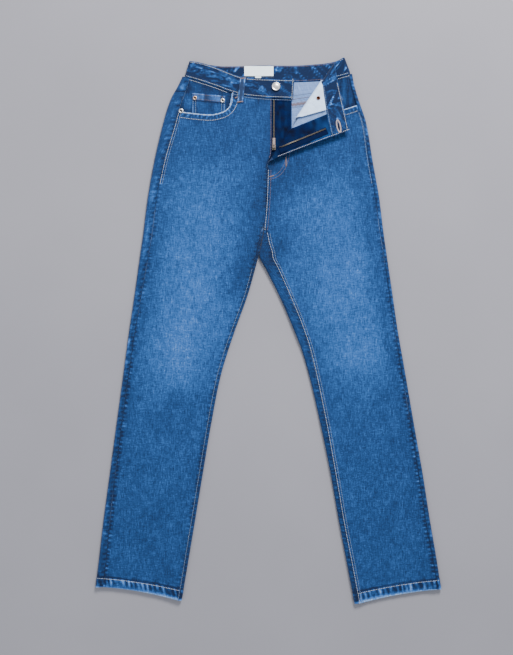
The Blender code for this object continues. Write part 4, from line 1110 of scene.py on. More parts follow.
def fly_pieces():
    """The shield behind the fly and the facing on the inside of the turned-over edge."""
    shield = read_table(SHIELD_OUTER)
    shield_plan = fly_plan(shield, 60, lambda y: np.full(len(y), SHIELD_INNER_X), BAND_RIGHT_FOOT)

    def shield_detail(x, y):
        edge = smooth(-shield["y"], shield["x"], -y) - x
        ripple = wander(y, x * 0.3, 11, 161)
        height = 0.45 * bell(edge - 4, 5) * ripple + 0.5 * wander(x, y, 26, 162)
        return height, 0.35 * bell(edge, 1.6) * (0.4 + ripple) + 0.18 * wander(x, y * 0.3, 6, 163)

    facing = read_table(FLY_FACING_OUTER)
    facing_plan = fly_plan(facing, 64, lambda y: column(CENTRE, "left_front", y) + 0.5, BAND_LEFT_FOOT)

    def facing_detail(x, y):
        inset = x - column(CENTRE, "left_front", y)
        ripple = wander(y, x * 0.3, 6, 174)
        height = -0.3 * wander(x, y, 13, 171) - 0.2 * wander(y, 0, 7, 172) * bell(x - 40, 4)
        height = height - 0.35 * bell(inset - 6, 5) * ripple
        near_band = ease((y - 428) / 22)
        wear = bell(inset - 5, 6) * (0.75 * near_band + 0.14 + 0.25 * ripple)
        wear = wear + 0.14 * wander(x * 0.4, y, 7, 173)
        wear = wear + ease((y - 436) / 30) * (0.30 + 0.4 * wander(x * 0.5, y, 9, 175))
        return height, wear + 0.15 * bell(inset - 0.5, 1.0) + 0.2 * bell(x - 41, 1.2)

    return [
        front_sheet(node + "_cloth", plan, weave_finish("navy_twill"), top, foot, side, node,
                    slot="dark_denim", detail=detail, reverse=0.0)
        for node, plan, top, foot, side, detail in (
            ("fly_shield", shield_plan, -2.2, -3.4, "right", shield_detail),
            ("fly_facing", facing_plan, -0.9, -1.9, "left", facing_detail),
        )
    ]


def zip_tapes():
    """The two tapes that carry the teeth."""
    made = []
    for side, box in TAPE_BOX.items():
        plan = box_grid(*box, shares_between(8, 0.03, 0.1), shares_between(60, 0.004))
        finish = weave_finish("zip_tape_weave")
        made.append(front_sheet("zip_tape_cloth_" + side, plan, finish, *TAPE_FACES[side], side,
                                "zip_tape_" + side, slot="zip_cloth", reverse=0.0))
    return made


# The waistband


BAND_SHARES = shares_between(15, 0.012, 0.04)
BAND_EDGE = edge_soft(BAND_SHARES, BAND_WIDE, 2.0) * BAND_THICK / 2
# Keys set the creases of the strip's stretches apart: what is added to x, or to the step round a corner.
# From the chevron key on, the creases cross the strip
LEFT_KEY, CHEVRON_KEY, RIGHT_CORNER_KEY, LEFT_CORNER_KEY, BACK_KEY = 400, 450, 600, 700, 1000


def band_points(top, foot):
    """Points across the strip, from its top edge to its foot."""
    return np.array(top) + (np.array(foot) - np.array(top)) * BAND_SHARES[:, None]


def streaks(run, down, lean, seed):
    """Ridges drawn out along a leaning line."""
    angle = math.radians(lean)
    along = run * math.cos(angle) + down * math.sin(angle)
    beside_it = down * math.cos(angle) - run * math.sin(angle)
    total = 0.0
    for share, long, wide, step in ((1.0, 44, 7.5, 0), (0.8, 24, 4.5, 1)):
        lump = wander(along / long, beside_it / wide, 1, seed + step)
        total = total + share * (0.95 * bell(lump - 0.30, 0.16) - 0.85 * bell(lump, 0.13) + 0.25 * lump)
    return total


def band_relief(run, across, front):
    """Height and wear of the waistband: leaning creases between its two stitched edges. On the front
    they run along it; at the back and on the turned end they form chevrons."""
    down = across * BAND_WIDE
    if np.mean(run) < CHEVRON_KEY:
        turned = ease((run + 80) / 60)
        base = -0.24
        pull = (1 - turned) * streaks(run, down, 9, 202) + turned * streaks(run, down, 32, 208)
    else:
        swing = ease(0.5 + 2.5 * wander(run, 0, 15, 205))
        base = -0.25
        pull = 1.45 * (swing * streaks(run, down, 62, 203) + (1 - swing) * streaks(run, down, -56, 206))
    inside = np.sin(math.pi * np.clip(across, 0, 1)) ** 0.6
    rim = np.minimum(across, 1 - across) * BAND_WIDE
    ripple = wander(run, 0, 5.0, 204) * bell(rim - 2.5, 3)
    height = front * (0.45 * pull * inside + 0.22 * ripple) - 0.25 * bell(rim - 2.6, 0.9)
    wear = base + 0.36 * pull * inside + 0.24 * ripple + 0.26 * bell(down, 1.4)
    return height, wear + 0.26 * bell((1 - across) * BAND_WIDE, 1.6)


def band_fold(distance):
    """How far along the left top and the left foot the roll has turned through that distance."""
    return crossing(BAND_LEFT_TOP, distance), crossing(BAND_LEFT_FOOT, distance)


def band_ends(top, foot, top_share, foot_share=None):
    """The strip's top and foot at a share of the way along both lines."""
    return route(top, top_share), route(foot, top_share if foot_share is None else foot_share)


def waistband():
    """The whole strip, round both corners and over the turned corner, with the buttonhole's slit."""
    stations = []
    middle_out = BAND_FRONT_RISE + HALF - BAND_THICK / 2

    def keep(outer, inner, middle, key):
        stations.append((outer, inner, middle[len(middle) // 2], key))

    def add_front(top, foot, side):
        plan = band_points(top, foot)
        key = plan[len(plan) // 2, 0] + (LEFT_KEY if side == "left" else 0)
        height, _ = band_relief(key, BAND_SHARES, 1.0)
        middle = front_layer(plan[:, 0], plan[:, 1], middle_out, side)
        outer = front_layer(plan[:, 0], plan[:, 1], middle_out + BAND_EDGE + height, side)
        inner = front_layer(plan[:, 0], plan[:, 1], middle_out - BAND_EDGE + height * 0.6, side)
        keep(outer, inner, middle, key)

    def add_back(top, foot):
        plan = band_points(top, foot)
        middle = np.column_stack([plan, np.full(len(plan), BAND_BACK_FLOOR + BAND_THICK / 2)])
        key = -plan[len(plan) // 2, 0] + BACK_KEY
        height, _ = band_relief(key, BAND_SHARES, 0.6)
        outer = middle - np.outer(BAND_EDGE, (0, 0, 1))
        inner = middle + np.outer(BAND_EDGE + height * 0.5, (0, 0, 1))
        keep(outer, inner, middle, key)

    def add_corner(front, back, inward, side, base_key, backwards=False):
        front_points, back_points = band_points(*front), band_points(*back)
        high = front_layer(front_points[:, 0], front_points[:, 1], middle_out, side)[:, 2]
        low = np.full(len(high), BAND_BACK_FLOOR + BAND_THICK / 2)
        radius = (high - low) / 2
        steps = range(1, 12)
        for step in reversed(steps) if backwards else steps:
            angle, share = math.pi * step / 12, step / 12
            plan = front_points * (1 - share) + back_points * share
            plan = plan - np.outer(radius * math.sin(angle), inward)
            middle = np.column_stack([plan, (high + low) / 2 + radius * math.cos(angle)])
            normal = np.array([*(-math.sin(angle) * np.array(inward)), math.cos(angle)])
            height, _ = band_relief(base_key + step, BAND_SHARES, 0.5)
            outer, inner = middle + np.outer(BAND_EDGE + height, normal), middle - np.outer(BAND_EDGE, normal)
            keep(outer, inner, middle, base_key + step)

    right, left = (BAND_RIGHT_TOP, BAND_RIGHT_FOOT), (BAND_LEFT_TOP, BAND_LEFT_FOOT)
    back = (BAND_BACK_TOP, BAND_BACK_FOOT)
    right_end, first = 1 - CORNER_TURN / BAND_LENGTHS["right"], CORNER_TURN / BAND_LENGTHS["left"]
    near, far = CORNER_TURN / BAND_LENGTHS["back"], 1 - CORNER_TURN / BAND_LENGTHS["back"]
    for share in np.unique(np.concatenate([[0, 0.002, 0.006], np.linspace(0.012, right_end, 88)])):
        add_front(*band_ends(*right, share), "right")
    corner = band_ends(*right, right_end), band_ends(*back, near)
    add_corner(*corner, CORNER_RIGHT_IN, "right", RIGHT_CORNER_KEY)
    for share in np.linspace(near, far, 96):
        add_back(*band_ends(*back, share))
    corner = band_ends(*left, first), band_ends(*back, far)
    add_corner(*corner, CORNER_LEFT_IN, "left", LEFT_CORNER_KEY, True)
    fold_top, fold_foot = band_fold(0)
    for share in np.linspace(0, 1, 15)[:-1]:
        top, foot = first + (fold_top - first) * share, first + (fold_foot - first) * share
        add_front(*band_ends(*left, top, foot), "left")
    for distance in np.linspace(0, math.pi * FOLD_RADIUS, 13):
        top, foot = band_fold(distance)
        add_front(*band_ends(*left, top, foot), "left")
    flap = np.unique(np.concatenate([np.linspace(0.015, 0.985, 56), [0.994, 1.0]]))
    first_slit = len(stations) + int((flap < SLIT_SHARES[0]).sum())
    last_slit = len(stations) + int((flap <= SLIT_SHARES[1]).sum()) - 1
    for share in flap:
        add_front(*band_ends(*left, top + (1 - top) * share, foot + (1 - foot) * share), "left")
    outer, inner, middles, keys = (np.array([station[i] for station in stations]) for i in range(4))
    wear = np.array([band_relief(key, BAND_SHARES, 1.0)[1] for key in keys])
    run = np.concatenate([[0], np.cumsum(np.linalg.norm(np.diff(middles, axis=0), axis=1))])
    uv = np.dstack(np.broadcast_arrays((BAND_WIDE * BAND_SHARES)[None, :], run[:, None]))
    centre = int(np.argmin(np.abs(BAND_SHARES - 0.5)))
    slit = (first_slit, last_slit, centre, centre + 1)
    mesh = shell_mesh("waistband_cloth", outer, inner, uv, wear, 0.0, slit=slit)
    return denim_piece("waistband_cloth", mesh, "waistband")


def strip_grid(box, rows, columns):
    """Plan grid of a narrow strip."""
    return box_grid(*box, shares_between(columns, 0.02, 0.07), shares_between(rows, 0.005, 0.02))


def loop_relief(across, along):
    """Height and wear of a belt loop: two folded edges with a hollow between them, and painted shade along
    both sides.
    """
    ridge = bell(across - 0.12, 0.16) + bell(across - 0.88, 0.16)
    height = 0.35 * ridge + 0.18 * wander(along, across * 6, 5, 211)
    wear = -0.44 + 0.62 * ridge * (0.7 + wander(along, 0, 5, 212)) + 0.22 * wander(along, across * 10, 6, 213)
    # painted shade: dark lines along both sides of the loop
    return height, wear - 0.4 * bell(np.minimum(across, 1 - across), 0.05)


def front_loop(name, node, top_point, foot_point, side):
    """A belt loop on the front, bowed up between its two sewn ends."""
    top, foot = np.array(top_point), np.array(foot_point)
    length = np.linalg.norm(foot - top)
    run = (foot - top) / length
    half_across = np.array([-run[1], run[0]]) * LOOP_WIDTH / 2
    across = shares_between(11, 0.03, 0.08)
    along = shares_between(40, 0.006, 0.02)
    plan = top + (foot - top) * along[:, None, None] + half_across * (across * 2 - 1)[None, :, None]
    height, wear = loop_relief(across[None, :], (along * length)[:, None])
    soft = edge_soft(across, LOOP_WIDTH, 1.0)[None, :] * edge_soft(along, length, 1.0)[:, None]
    middle, half = 1.1 + LOOP_THICK / 2, LOOP_THICK / 2
    bow = 0.5 * np.sin(math.pi * along)[:, None] * (1 - (2 * across - 1) ** 2)[None, :]
    x, y = plan[..., 0], plan[..., 1]
    outer = front_layer(x, y, middle + half * soft + height * 0.8 + bow, side)
    inner = front_layer(x, y, middle - half * soft + bow, side)
    mesh = shell_mesh(name, outer, inner, plan, wear, 0.3, face=0.10)
    return denim_piece(name, mesh, node)


def flat_cloth(name, node, plan, low, high, finish, detail=None, reverse=0.0, up=True):
    """A flat-lying piece between two heights; detail gives relief for the face that shows."""
    x, y = plan[..., 0], plan[..., 1]
    height, wear = detail(x, y) if detail else (np.zeros(x.shape), np.zeros(x.shape))
    soft = soft_rim(x.shape, 0.4, 0.85)
    middle, half = (low + high) / 2, (high - low) / 2
    upper = np.dstack([x, y, middle + half * soft + (height if up else 0)])
    lower = np.dstack([x, y, middle - half * soft + (height * 0.6 if up else 0)])
    mesh = shell_mesh(name, upper, lower, plan, wear, reverse)
    return plain_object(name, mesh, finish, replaces=(node,))


def back_loops():
    """The three belt loops under the back."""
    made = []
    for name, (x, y_high, y_low) in BACK_LOOPS.items():
        plan = strip_grid((x - LOOP_WIDTH / 2, x + LOOP_WIDTH / 2, y_high, y_low), 36, 9)

        def detail(px, py, x=x):
            return np.zeros(px.shape), loop_relief((px - x) / LOOP_WIDTH + 0.5, py)[1]

        made.append(flat_cloth("loop_cloth_back_" + name, "loop_back_" + name, plan, 0.0, LOOP_THICK,
                               denim_finish(), detail, up=False))
    return made


def back_pocket(side):
    """A patch pocket on the seat, with a turned top and a worn rim."""
    inner, outer, top, length = BACK_POCKETS[side]
    centre, half = (inner + outer) / 2, abs(outer - inner) / 2
    s = shares_between(44, 0.006, 0.02) * 2 - 1
    first = np.stack([centre + s * half, np.full(len(s), top)], axis=-1)
    keys = np.array([-1, -0.5, 0, 0.5, 1])
    drop = np.interp(s, keys, [-0.83, -0.915, -1, -0.915, -0.83])
    last = np.stack([centre + s * 0.9 * half, top + drop * length], axis=-1)
    shares = shares_between(46, 0.005, 0.018)[:, None, None]
    plan = first[None] * (1 - shares) + last[None] * shares

    def detail(x, y):
        down = top - y
        side_gap = half * (1 - 0.1 * down / length) - np.abs(x - centre)
        rim = np.minimum(side_gap, y - (top - length) - np.abs(x - centre) * 0.36)
        wear = 0.30 * bell(rim - 1, 1.8) + 0.30 * bell(down - 1, 2.0) + 0.10 * wander(x, y * 0.4, 12, 221)
        ripple = wander(x + y, 0, 6, 222)
        return np.zeros(x.shape), wear + 0.12 * ripple * (bell(rim - 4, 3) + bell(down - 9, 7)) - 0.04

    return flat_cloth("back_pocket_cloth_" + side, "back_pocket_" + side, plan, 0.0, POCKET_THICK,
                      denim_finish(), detail, up=False)


def labels():
    """The bare label and size tab on the inside of the back waistband."""
    level = BAND_BACK_FLOOR + BAND_THICK + SEAM
    made = []
    for name, node, box, thick, arch in (
        ("label_cloth", "waist_label", LABEL_BOX, 0.8, 0.9),
        ("size_tab_cloth", "size_tab", TAB_BOX, 0.6, 0.3),
    ):
        plan = strip_grid(box, 22, 44)

        def detail(x, y, box=box, arch=arch):
            x_low, x_high, y_high, y_low = box
            s = (x - x_low) / (x_high - x_low)
            t = (y - y_low) / (y_high - y_low)
            return arch * (1 - t) * (0.6 + 0.4 * np.sin(s * 9)) * 0.8, np.zeros(x.shape)

        finish = weave_finish("label_satin")
        made.append(flat_cloth(name, node, plan, level, level + thick, finish, detail))
    return made


# Metal


def turned_mesh(name, centre, profile, sides=48, dish=0.0):
    """A closed mesh turned about an upright line, from its foot's middle to its top's middle. Within
    the dish its metal is dark."""
    profile = [(0.0, profile[0][1])] + list(profile) + [(0.0, profile[-1][1])]
    form = bmesh.new()
    rings = []
    for radius, height in profile:
        if radius == 0:
            rings.append([form.verts.new(((np.array(centre) + (0, 0, height) + SHIFT) * MM).tolist())])
            continue
        ring = []
        for k in range(sides):
            angle = 2 * math.pi * k / sides
            place = np.array(centre) + (radius * math.cos(angle), radius * math.sin(angle), height)
            ring.append(form.verts.new(((place + SHIFT) * MM).tolist()))
        rings.append(ring)
    for low, high in zip(rings[:-1], rings[1:]):
        for k in range(sides):
            nxt = (k + 1) % sides
            if len(low) == 1:
                form.faces.new((low[0], high[nxt], high[k]))
            elif len(high) == 1:
                form.faces.new((low[k], low[nxt], high[0]))
            else:
                form.faces.new((low[k], low[nxt], high[nxt], high[k]))
    bmesh.ops.recalc_face_normals(form, faces=form.faces[:])
    mesh = bpy.data.meshes.new(name)
    form.to_mesh(mesh)
    form.free()
    middle = (np.array(centre) + SHIFT) * MM
    hollow = mesh.attributes.new("hollow", "FLOAT", "POINT")
    for vertex, kept in zip(mesh.vertices, hollow.data):
        kept.value = float(math.hypot(vertex.co.x - middle[0], vertex.co.y - middle[1]) < dish * MM)
    mesh.shade_smooth()
    mesh.set_sharp_from_angle(angle=math.radians(55))
    return mesh


BUTTON_PROFILE = [
    (4.2, 0), (4.3, 0.3), (2.8, 0.6), (2.6, 1.7), (7.4, 1.9), (8.2, 2.15), (8.5, 2.6), (8.45, 3.05),
    (8.1, 3.4), (7.6, 3.5), (7.1, 3.4), (6.7, 3.15), (6.2, 3.05), (5.2, 3.1), (4.7, 3.25), (4.2, 3.4),
    (3.2, 3.55), (1.6, 3.65),
]
RIVET_PROFILE = [
    (1, 0), (1, 0.4), (0.97, 0.65), (0.90, 0.88), (0.80, 1.05), (0.68, 1.10), (0.57, 1.05), (0.48, 0.82),
    (0.42, 0.52), (0.25, 0.45), (0.10, 0.48),
]
RIVET_DISH = 0.5
RIVET_RISE = 0.6
DARK_RIVET = "rivet_back_left"


def metal():
    """The button and the rivets, and the finishes of the slider and its pull tab."""
    top = front_layer(*BUTTON_PLACE, BAND_FRONT_RISE + HALF + SEAM, "right")
    mesh = turned_mesh("button_metal", top, BUTTON_PROFILE, 72)
    plain_object("button_metal", mesh, metal_finish("nickel_worn"), replaces=("waist_button",))
    for node, (x, y, out, side, radius) in RIVETS.items():
        profile = [(radius * share, height) for share, height in RIVET_PROFILE]
        slot = "copper" if node in COPPER_RIVETS else "nickel"
        finish = metal_finish("copper_dark" if node == DARK_RIVET else slot + "_worn")
        foot = front_layer(x, y, out + (0.0 if node == DARK_RIVET else RIVET_RISE), side)
        mesh = turned_mesh(node + "_metal", foot, profile, 40, radius * RIVET_DISH)
        plain_object(node + "_metal", mesh, finish, replaces=(node,))
    # the pull tab takes a paler brass than the slider: a painted highlight
    for node, finish in (("zip_slider", "brass_worn"), ("zip_pull", "pull_worn")):
        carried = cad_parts[node]
        carried.data.materials.clear()
        carried.data.materials.append(metal_finish(finish))


# Repeated pieces by Geometry Nodes


def repeat_tree(name, kind):
    """A tree that sets one small form at even steps along a path: a stitch or a zip tooth."""
    tree = bpy.data.node_groups.new(name, "GeometryNodeTree")
    tree.interface.new_socket("Geometry", in_out="INPUT", socket_type="NodeSocketGeometry")
    for label, default in (("Step", 0.0032), ("Length", 0.0024), ("Width", 0.0007), ("Height", 0.0006)):
        socket = tree.interface.new_socket(label, in_out="INPUT", socket_type="NodeSocketFloat")
        socket.default_value = default
    tree.interface.new_socket("Finish", in_out="INPUT", socket_type="NodeSocketMaterial")
    tree.interface.new_socket("Geometry", in_out="OUTPUT", socket_type="NodeSocketGeometry")
    new, link = tree.nodes.new, tree.links.new
    start, end = new("NodeGroupInput"), new("NodeGroupOutput")
    path = new("GeometryNodeMeshToCurve")
    link(start.outputs["Geometry"], path.inputs["Mesh"])
    spaced = new("GeometryNodeResampleCurve")
    spaced.mode = "LENGTH"
    link(path.outputs["Curve"], spaced.inputs["Curve"])
    link(start.outputs["Step"], spaced.inputs["Length"])
    tangent = new("GeometryNodeInputTangent")
    turn = new("FunctionNodeAlignRotationToVector")
    turn.axis = "X"
    link(tangent.outputs["Tangent"], turn.inputs["Vector"])
    if kind == "stitch":
        form = new("GeometryNodeMeshUVSphere")
        form.inputs["Segments"].default_value = 6
        form.inputs["Rings"].default_value = 4
        form.inputs["Radius"].default_value = 0.5
    else:
        form = new("GeometryNodeMeshCube")
        form.inputs["Size"].default_value = (1.0, 1.0, 1.0)
    size = new("ShaderNodeCombineXYZ")
    for axis, label in zip("XYZ", ("Length", "Width", "Height")):
        link(start.outputs[label], size.inputs[axis])
    place = new("GeometryNodeInstanceOnPoints")
    link(spaced.outputs["Curve"], place.inputs["Points"])
    link(form.outputs["Mesh"], place.inputs["Instance"])
    link(turn.outputs["Rotation"], place.inputs["Rotation"])
    link(size.outputs["Vector"], place.inputs["Scale"])
    real = new("GeometryNodeRealizeInstances")
    link(place.outputs["Instances"], real.inputs["Geometry"])
    finish = new("GeometryNodeSetMaterial")
    link(real.outputs["Geometry"], finish.inputs["Geometry"])
    link(start.outputs["Finish"], finish.inputs["Material"])
    link(finish.outputs["Geometry"], end.inputs["Geometry"])
    return tree


def repeated(name, paths, kind, sizes, finish, *, replaces=()):
    """One plain mesh with the small form repeated along every path."""
    points, edges = [], []
    for path in paths:
        first = len(points)
        points += ((arched(path) + SHIFT) * MM).tolist()
        edges += [(i, i + 1) for i in range(first, len(points) - 1)]
    mesh = bpy.data.meshes.new(name + "_path")
    mesh.from_pydata(points, edges, [])
    carrier = bpy.data.objects.new(name + "_path", mesh)
    bpy.context.scene.collection.objects.link(carrier)
    tree = repeat_tree(name + "_tree", kind)
    modifier = carrier.modifiers.new("repeat", "NODES")
    modifier.node_group = tree
    wanted = dict(sizes, Finish=finish)
    for item in tree.interface.items_tree:
        if item.in_out == "INPUT" and item.name in wanted:
            modifier[item.identifier] = wanted[item.name]
    bpy.context.view_layer.update()
    evaluated = carrier.evaluated_get(bpy.context.evaluated_depsgraph_get())
    made = bpy.data.meshes.new_from_object(evaluated)
    made.name = name
    bpy.data.objects.remove(carrier)
    bpy.data.node_groups.remove(tree)
    if kind == "stitch":
        made.shade_smooth()
    return plain_object(name, made, finish, replaces=replaces)


def evenly(line, step=1.6):
    """Points along a line, about a step apart."""
    line = np.array(line, float)
    length = np.linalg.norm(np.diff(line, axis=0), axis=1).sum()
    return route(line, np.linspace(0, 1, max(4, int(length / step))))


def on_front(line, side, out=HALF + 0.22):
    """A path on the outer face of the front, over its relief."""
    plan = evenly(line)
    x, y = plan[:, 0], plan[:, 1]
    return front_layer(x, y, out + front_relief(side, x, y)[0], side)


def beside(line, distance):
    """A line moved sideways, to its left where the distance is positive."""
    line = np.array(line, float)
    way = np.gradient(line, axis=0)
    way = way / np.linalg.norm(way, axis=1)[:, None]
    return line + np.stack([-way[:, 1], way[:, 0]], axis=-1) * distance


def seam_line(function, side, y_high, y_low, inset):
    """A line down a leg seam, moved by inset along x."""
    ys = np.linspace(y_high, y_low, 80)
    return np.stack([function(side, ys) + inset, ys], axis=-1)


def level_path(line, out, side, step=1.6):
    """A path along a line at a steady distance from the front's cloth; below it where out is negative."""
    plan = evenly(line, step)
    more = broad_relief(plan[:, 0], plan[:, 1]) * 0.5
    return front_layer(plan[:, 0], plan[:, 1], out + more, side)


def flat_path(line, height):
    """A path along a line at one height."""
    plan = evenly(line)
    return np.column_stack([plan, np.full(len(plan), height)])


def between_lines(lines, share, start, end):
    """The line that lies share of the way from one line to another, between two places along them."""
    at = np.linspace(start, end, 60)
    return route(lines[0], at) * (1 - share) + route(lines[1], at) * share


BAND_OUTSIDE = BAND_FRONT_RISE + HALF + 0.2
BAND_INSIDE = BAND_FRONT_RISE + HALF - BAND_THICK - 0.2
BAND_BACK_INSIDE = BAND_BACK_FLOOR + BAND_THICK + 0.2
BAND_STITCH = 2.4 / BAND_WIDE
FLY_FACING_FACE = -2.15


def band_stitches():
    """Stitching near both edges of the waistband: outside on the front, inside on the back and the flap."""
    pale, tan, grey = [], [], []
    right, left = (BAND_RIGHT_TOP, BAND_RIGHT_FOOT), (BAND_LEFT_TOP, BAND_LEFT_FOOT)
    fold_start, fold_end = band_fold(0), max(band_fold(math.pi * FOLD_RADIUS)) * 1.01
    for share in (BAND_STITCH, 1 - BAND_STITCH):
        pale.append(level_path(between_lines(right, share, 0.01, 0.985), BAND_OUTSIDE, "right"))
        turn = (fold_start[0] * (1 - share) + fold_start[1] * share) * 0.97
        pale.append(level_path(between_lines(left, share, 0.03, turn), BAND_OUTSIDE, "left"))
        flap = pale if share < 0.5 else grey
        flap.append(level_path(between_lines(left, share, fold_end, 0.985), BAND_INSIDE, "left"))
        behind = between_lines((BAND_BACK_TOP, BAND_BACK_FOOT), share, 0.02, 0.98)
        tan.append(flat_path(behind, BAND_BACK_INSIDE))
    pale.append(level_path(band_ends(*left, 0.988), BAND_INSIDE, "left"))
    for side, seen, hidden in (("right", (-70, 46), (-158, -84)), ("left", (62, 84), (90, 166))):
        xs = np.linspace(*seen, 40)
        below = line_y(FRONT_FEET[side], xs)
        grey.append(on_front(np.stack([xs, below - 3.2], axis=-1), side, HALF + 0.1))
        xs = np.linspace(*hidden, 40)
        below = line_y(FRONT_FEET[side], xs)
        pale.append(level_path(np.stack([xs, below - 3.6], axis=-1), -0.5, side))
    pale.append(level_path(band_ends(*right, 0.012), BAND_OUTSIDE, "right"))
    return pale, tan, grey


def leg_stitches():
    """Pairs of lines down the seams, round the pockets and along the hems."""
    pale, grey = [], []
    for side, sign in (("right", 1), ("left", -1)):
        outer_threads = ((1.6, pale), (6.2, grey)) if side == "right" else ((2.0, grey),)
        for inset, group in outer_threads:
            group.append(on_front(seam_line(outseam_x, side, 440, 300, sign * inset), side))
        hem_y = hem_line(side, 0.96)[1] + 2
        inner_threads = ((0.4, 125, grey),) if side == "right" else ((1.8, 198, pale), (6.6, 196, grey))
        for inset, top, group in inner_threads:
            group.append(on_front(seam_line(inseam_x, side, top, hem_y, inset), side))
        outer, inner = hem_line(side, 0.03), hem_line(side, 0.965)
        up = (0, HEM_DEPTH - 2.0)
        pale.append(on_front(np.array([outer + up, inner + up]), side))
        mouth = route(MOUTHS[side], np.linspace(0.02, 0.98, 60))
        for distance in (1.8, 12.0):
            pale.append(on_front(beside(mouth, -sign * distance), side))
    return pale, grey


def fly_stitches():
    """The seam below the fly, the curved line of the fly, and the edges beside the zip."""
    pale, tan = [], []
    centre = [(-1.6, 325), (-2.6, 290), (-4.6, 250), (-7.0, 222), (-8.6, 206)]
    pale.append(on_front(beside(centre, 2.4), "left"))
    tan.append(on_front(beside(centre, 7.6), "left"))
    for distance in (0.0, 5.6):
        tan.append(on_front(beside(route(J_LINE, np.linspace(0, 1, 60)), distance), "left"))
    ys = np.linspace(467, 352, 40)
    tan.append(on_front(np.stack([column(CENTRE, "right_front", ys) - 1.6, ys], axis=-1), "right"))
    ys = np.linspace(476, 366, 40)
    edge = column(CENTRE, "left_front", ys)
    pale.append(level_path(np.stack([edge + 2.4, ys], axis=-1), FLY_FACING_FACE, "left"))
    return pale, tan


def coin_stitches():
    """Lines along the hem of the coin pocket and down its sides."""
    x_low, x_high, top, _ = COIN_POCKET
    grey, tan = [], []
    for down in (2.2, 12.0):
        line = [(x_low + 2, top - down), (x_high - 2, top - down + (x_high - x_low) * COIN_SLOPE)]
        tan.append(level_path(line, -0.15, "right"))
    for x in (x_low + 2.2, x_low + 7.4, x_high - 2.2, x_high - 7.4):
        high = top + (x - x_low) * COIN_SLOPE - 14
        grey.append(level_path([(x, high), (x, high - 30)], -0.55, "right"))
    return grey, tan


def yoke_overlock():
    """The overlocked edge of the yoke seam, inside the back, as a zigzag with two straight lines; also dark
    rows of painted shadow beside the seam and under the label's foot.
    """
    xs = np.arange(8.0, 130.0, 1.4)
    seam = YOKE_CENTRE_Y + (YOKE_SIDE_Y - YOKE_CENTRE_Y) * (xs + 19) / 190
    zigzag = seam - 6 + 3.0 * (np.arange(len(xs)) % 2 * 2 - 1)
    paths = []
    for ys in (seam + 4.0, zigzag, zigzag - 2.0):
        paths.append(np.column_stack([xs, ys, back_lift(xs, ys) + DENIM + 0.35]))
    # painted shadow: dark rows along the ridges 11 mm above and 13 mm below the yoke seam
    edges = [np.column_stack([xs, ys, back_lift(xs, ys) + DENIM + 0.3]) for ys in (seam + 11, seam - 13)]
    # painted shadow: two dark rows under the label's lifted foot
    x_low, x_high, _, foot = LABEL_BOX
    for drop in (0.9, 2.0):
        ends = [(x_low + 1, foot - drop), (x_high - 1, foot - drop)]
        edges.append(flat_path(ends, BAND_BACK_FLOOR + BAND_THICK + 0.3))
    return paths, edges


BARTACKS = (
    ("right", (-62.0, 463.4), (-50.8, 464.6), 2.6),
    ("right", (-56.5, 511.0), (-45.5, 511.9), 2.6),
    ("left", (52.6, 481.4), (63.6, 480.2), 2.6),
    ("right", (-66.5, 472.0), (-59.0, 474.5), 1.1),
    ("left", (36.5, 351.5), (36.5, 333.5), 1.1),
    ("left", (3.5, 312.6), (11.5, 314.6), 1.1),
)
BUTTONHOLE_REACH = (12.5, 3.4)


def bartacks():
    """Short dense bars where a seam takes the most pull."""
    return [level_path([start, end], out, side, 0.5) for side, start, end, out in BARTACKS]


def buttonhole_ring():
    """The oval of stitches round the buttonhole, on the side that shows."""
    at = [share + (1 - share) * sum(SLIT_SHARES) / 2 for share in band_fold(math.pi * FOLD_RADIUS)]
    centre = (route(BAND_LEFT_TOP, at[0]) + route(BAND_LEFT_FOOT, at[1])) / 2
    along = route(BAND_LEFT_TOP, at[0] + 0.02) - route(BAND_LEFT_TOP, at[0])
    along = along / np.linalg.norm(along)
    across = np.array([-along[1], along[0]])
    turn = np.linspace(0, 2 * math.pi, 60)
    long, wide = BUTTONHOLE_REACH
    line = centre + np.outer(np.cos(turn) * long, along) + np.outer(np.sin(turn) * wide, across)
    return [front_layer(line[:, 0], line[:, 1], BAND_INSIDE - 0.1, "left")]


STITCH = {"Step": 0.0034, "Length": 0.0029, "Width": 0.00095, "Height": 0.0008}
DENSE = {"Step": 0.0009, "Length": 0.0013, "Width": 0.0030, "Height": 0.0010}
RING = {"Step": 0.0011, "Length": 0.0014, "Width": 0.0034, "Height": 0.0010}
SHADOW_ROW_STITCH = {"Step": 0.0030, "Length": 0.0034, "Width": 0.0011, "Height": 0.0007}
FINE_STITCH = {"Step": 0.0015, "Length": 0.0017, "Width": 0.0011, "Height": 0.0007}


def stitches():
    """All topstitching, in groups of one thread, and the dark thread rows of painted shadow inside the back.
    """
    band_pale, band_tan, band_grey = band_stitches()
    overlock, edges = yoke_overlock()
    leg_pale, leg_grey = leg_stitches()
    fly_pale, fly_tan = fly_stitches()
    coin_grey, coin_tan = coin_stitches()
    for name, paths, sizes, thread in (
        ("stitches_pale", band_pale + leg_pale + fly_pale, STITCH, "thread_pale"),
        ("stitches_grey", leg_grey + band_grey + coin_grey, STITCH, "thread_grey"),
        ("stitches_tan", band_tan + fly_tan + coin_tan, STITCH, "thread_tan"),
        ("overlock_tan", overlock, FINE_STITCH, "thread_tan"),
        # painted shadow: the dark rows beside the yoke seam and under the label
        ("yoke_edges", edges, SHADOW_ROW_STITCH, "thread_dark"),
        ("bartacks_tan", bartacks(), DENSE, "thread_tan"),
        ("buttonhole_ring", buttonhole_ring(), RING, "thread_rose"),
    ):
        repeated(name, paths, "stitch", sizes, thread_finish(thread))


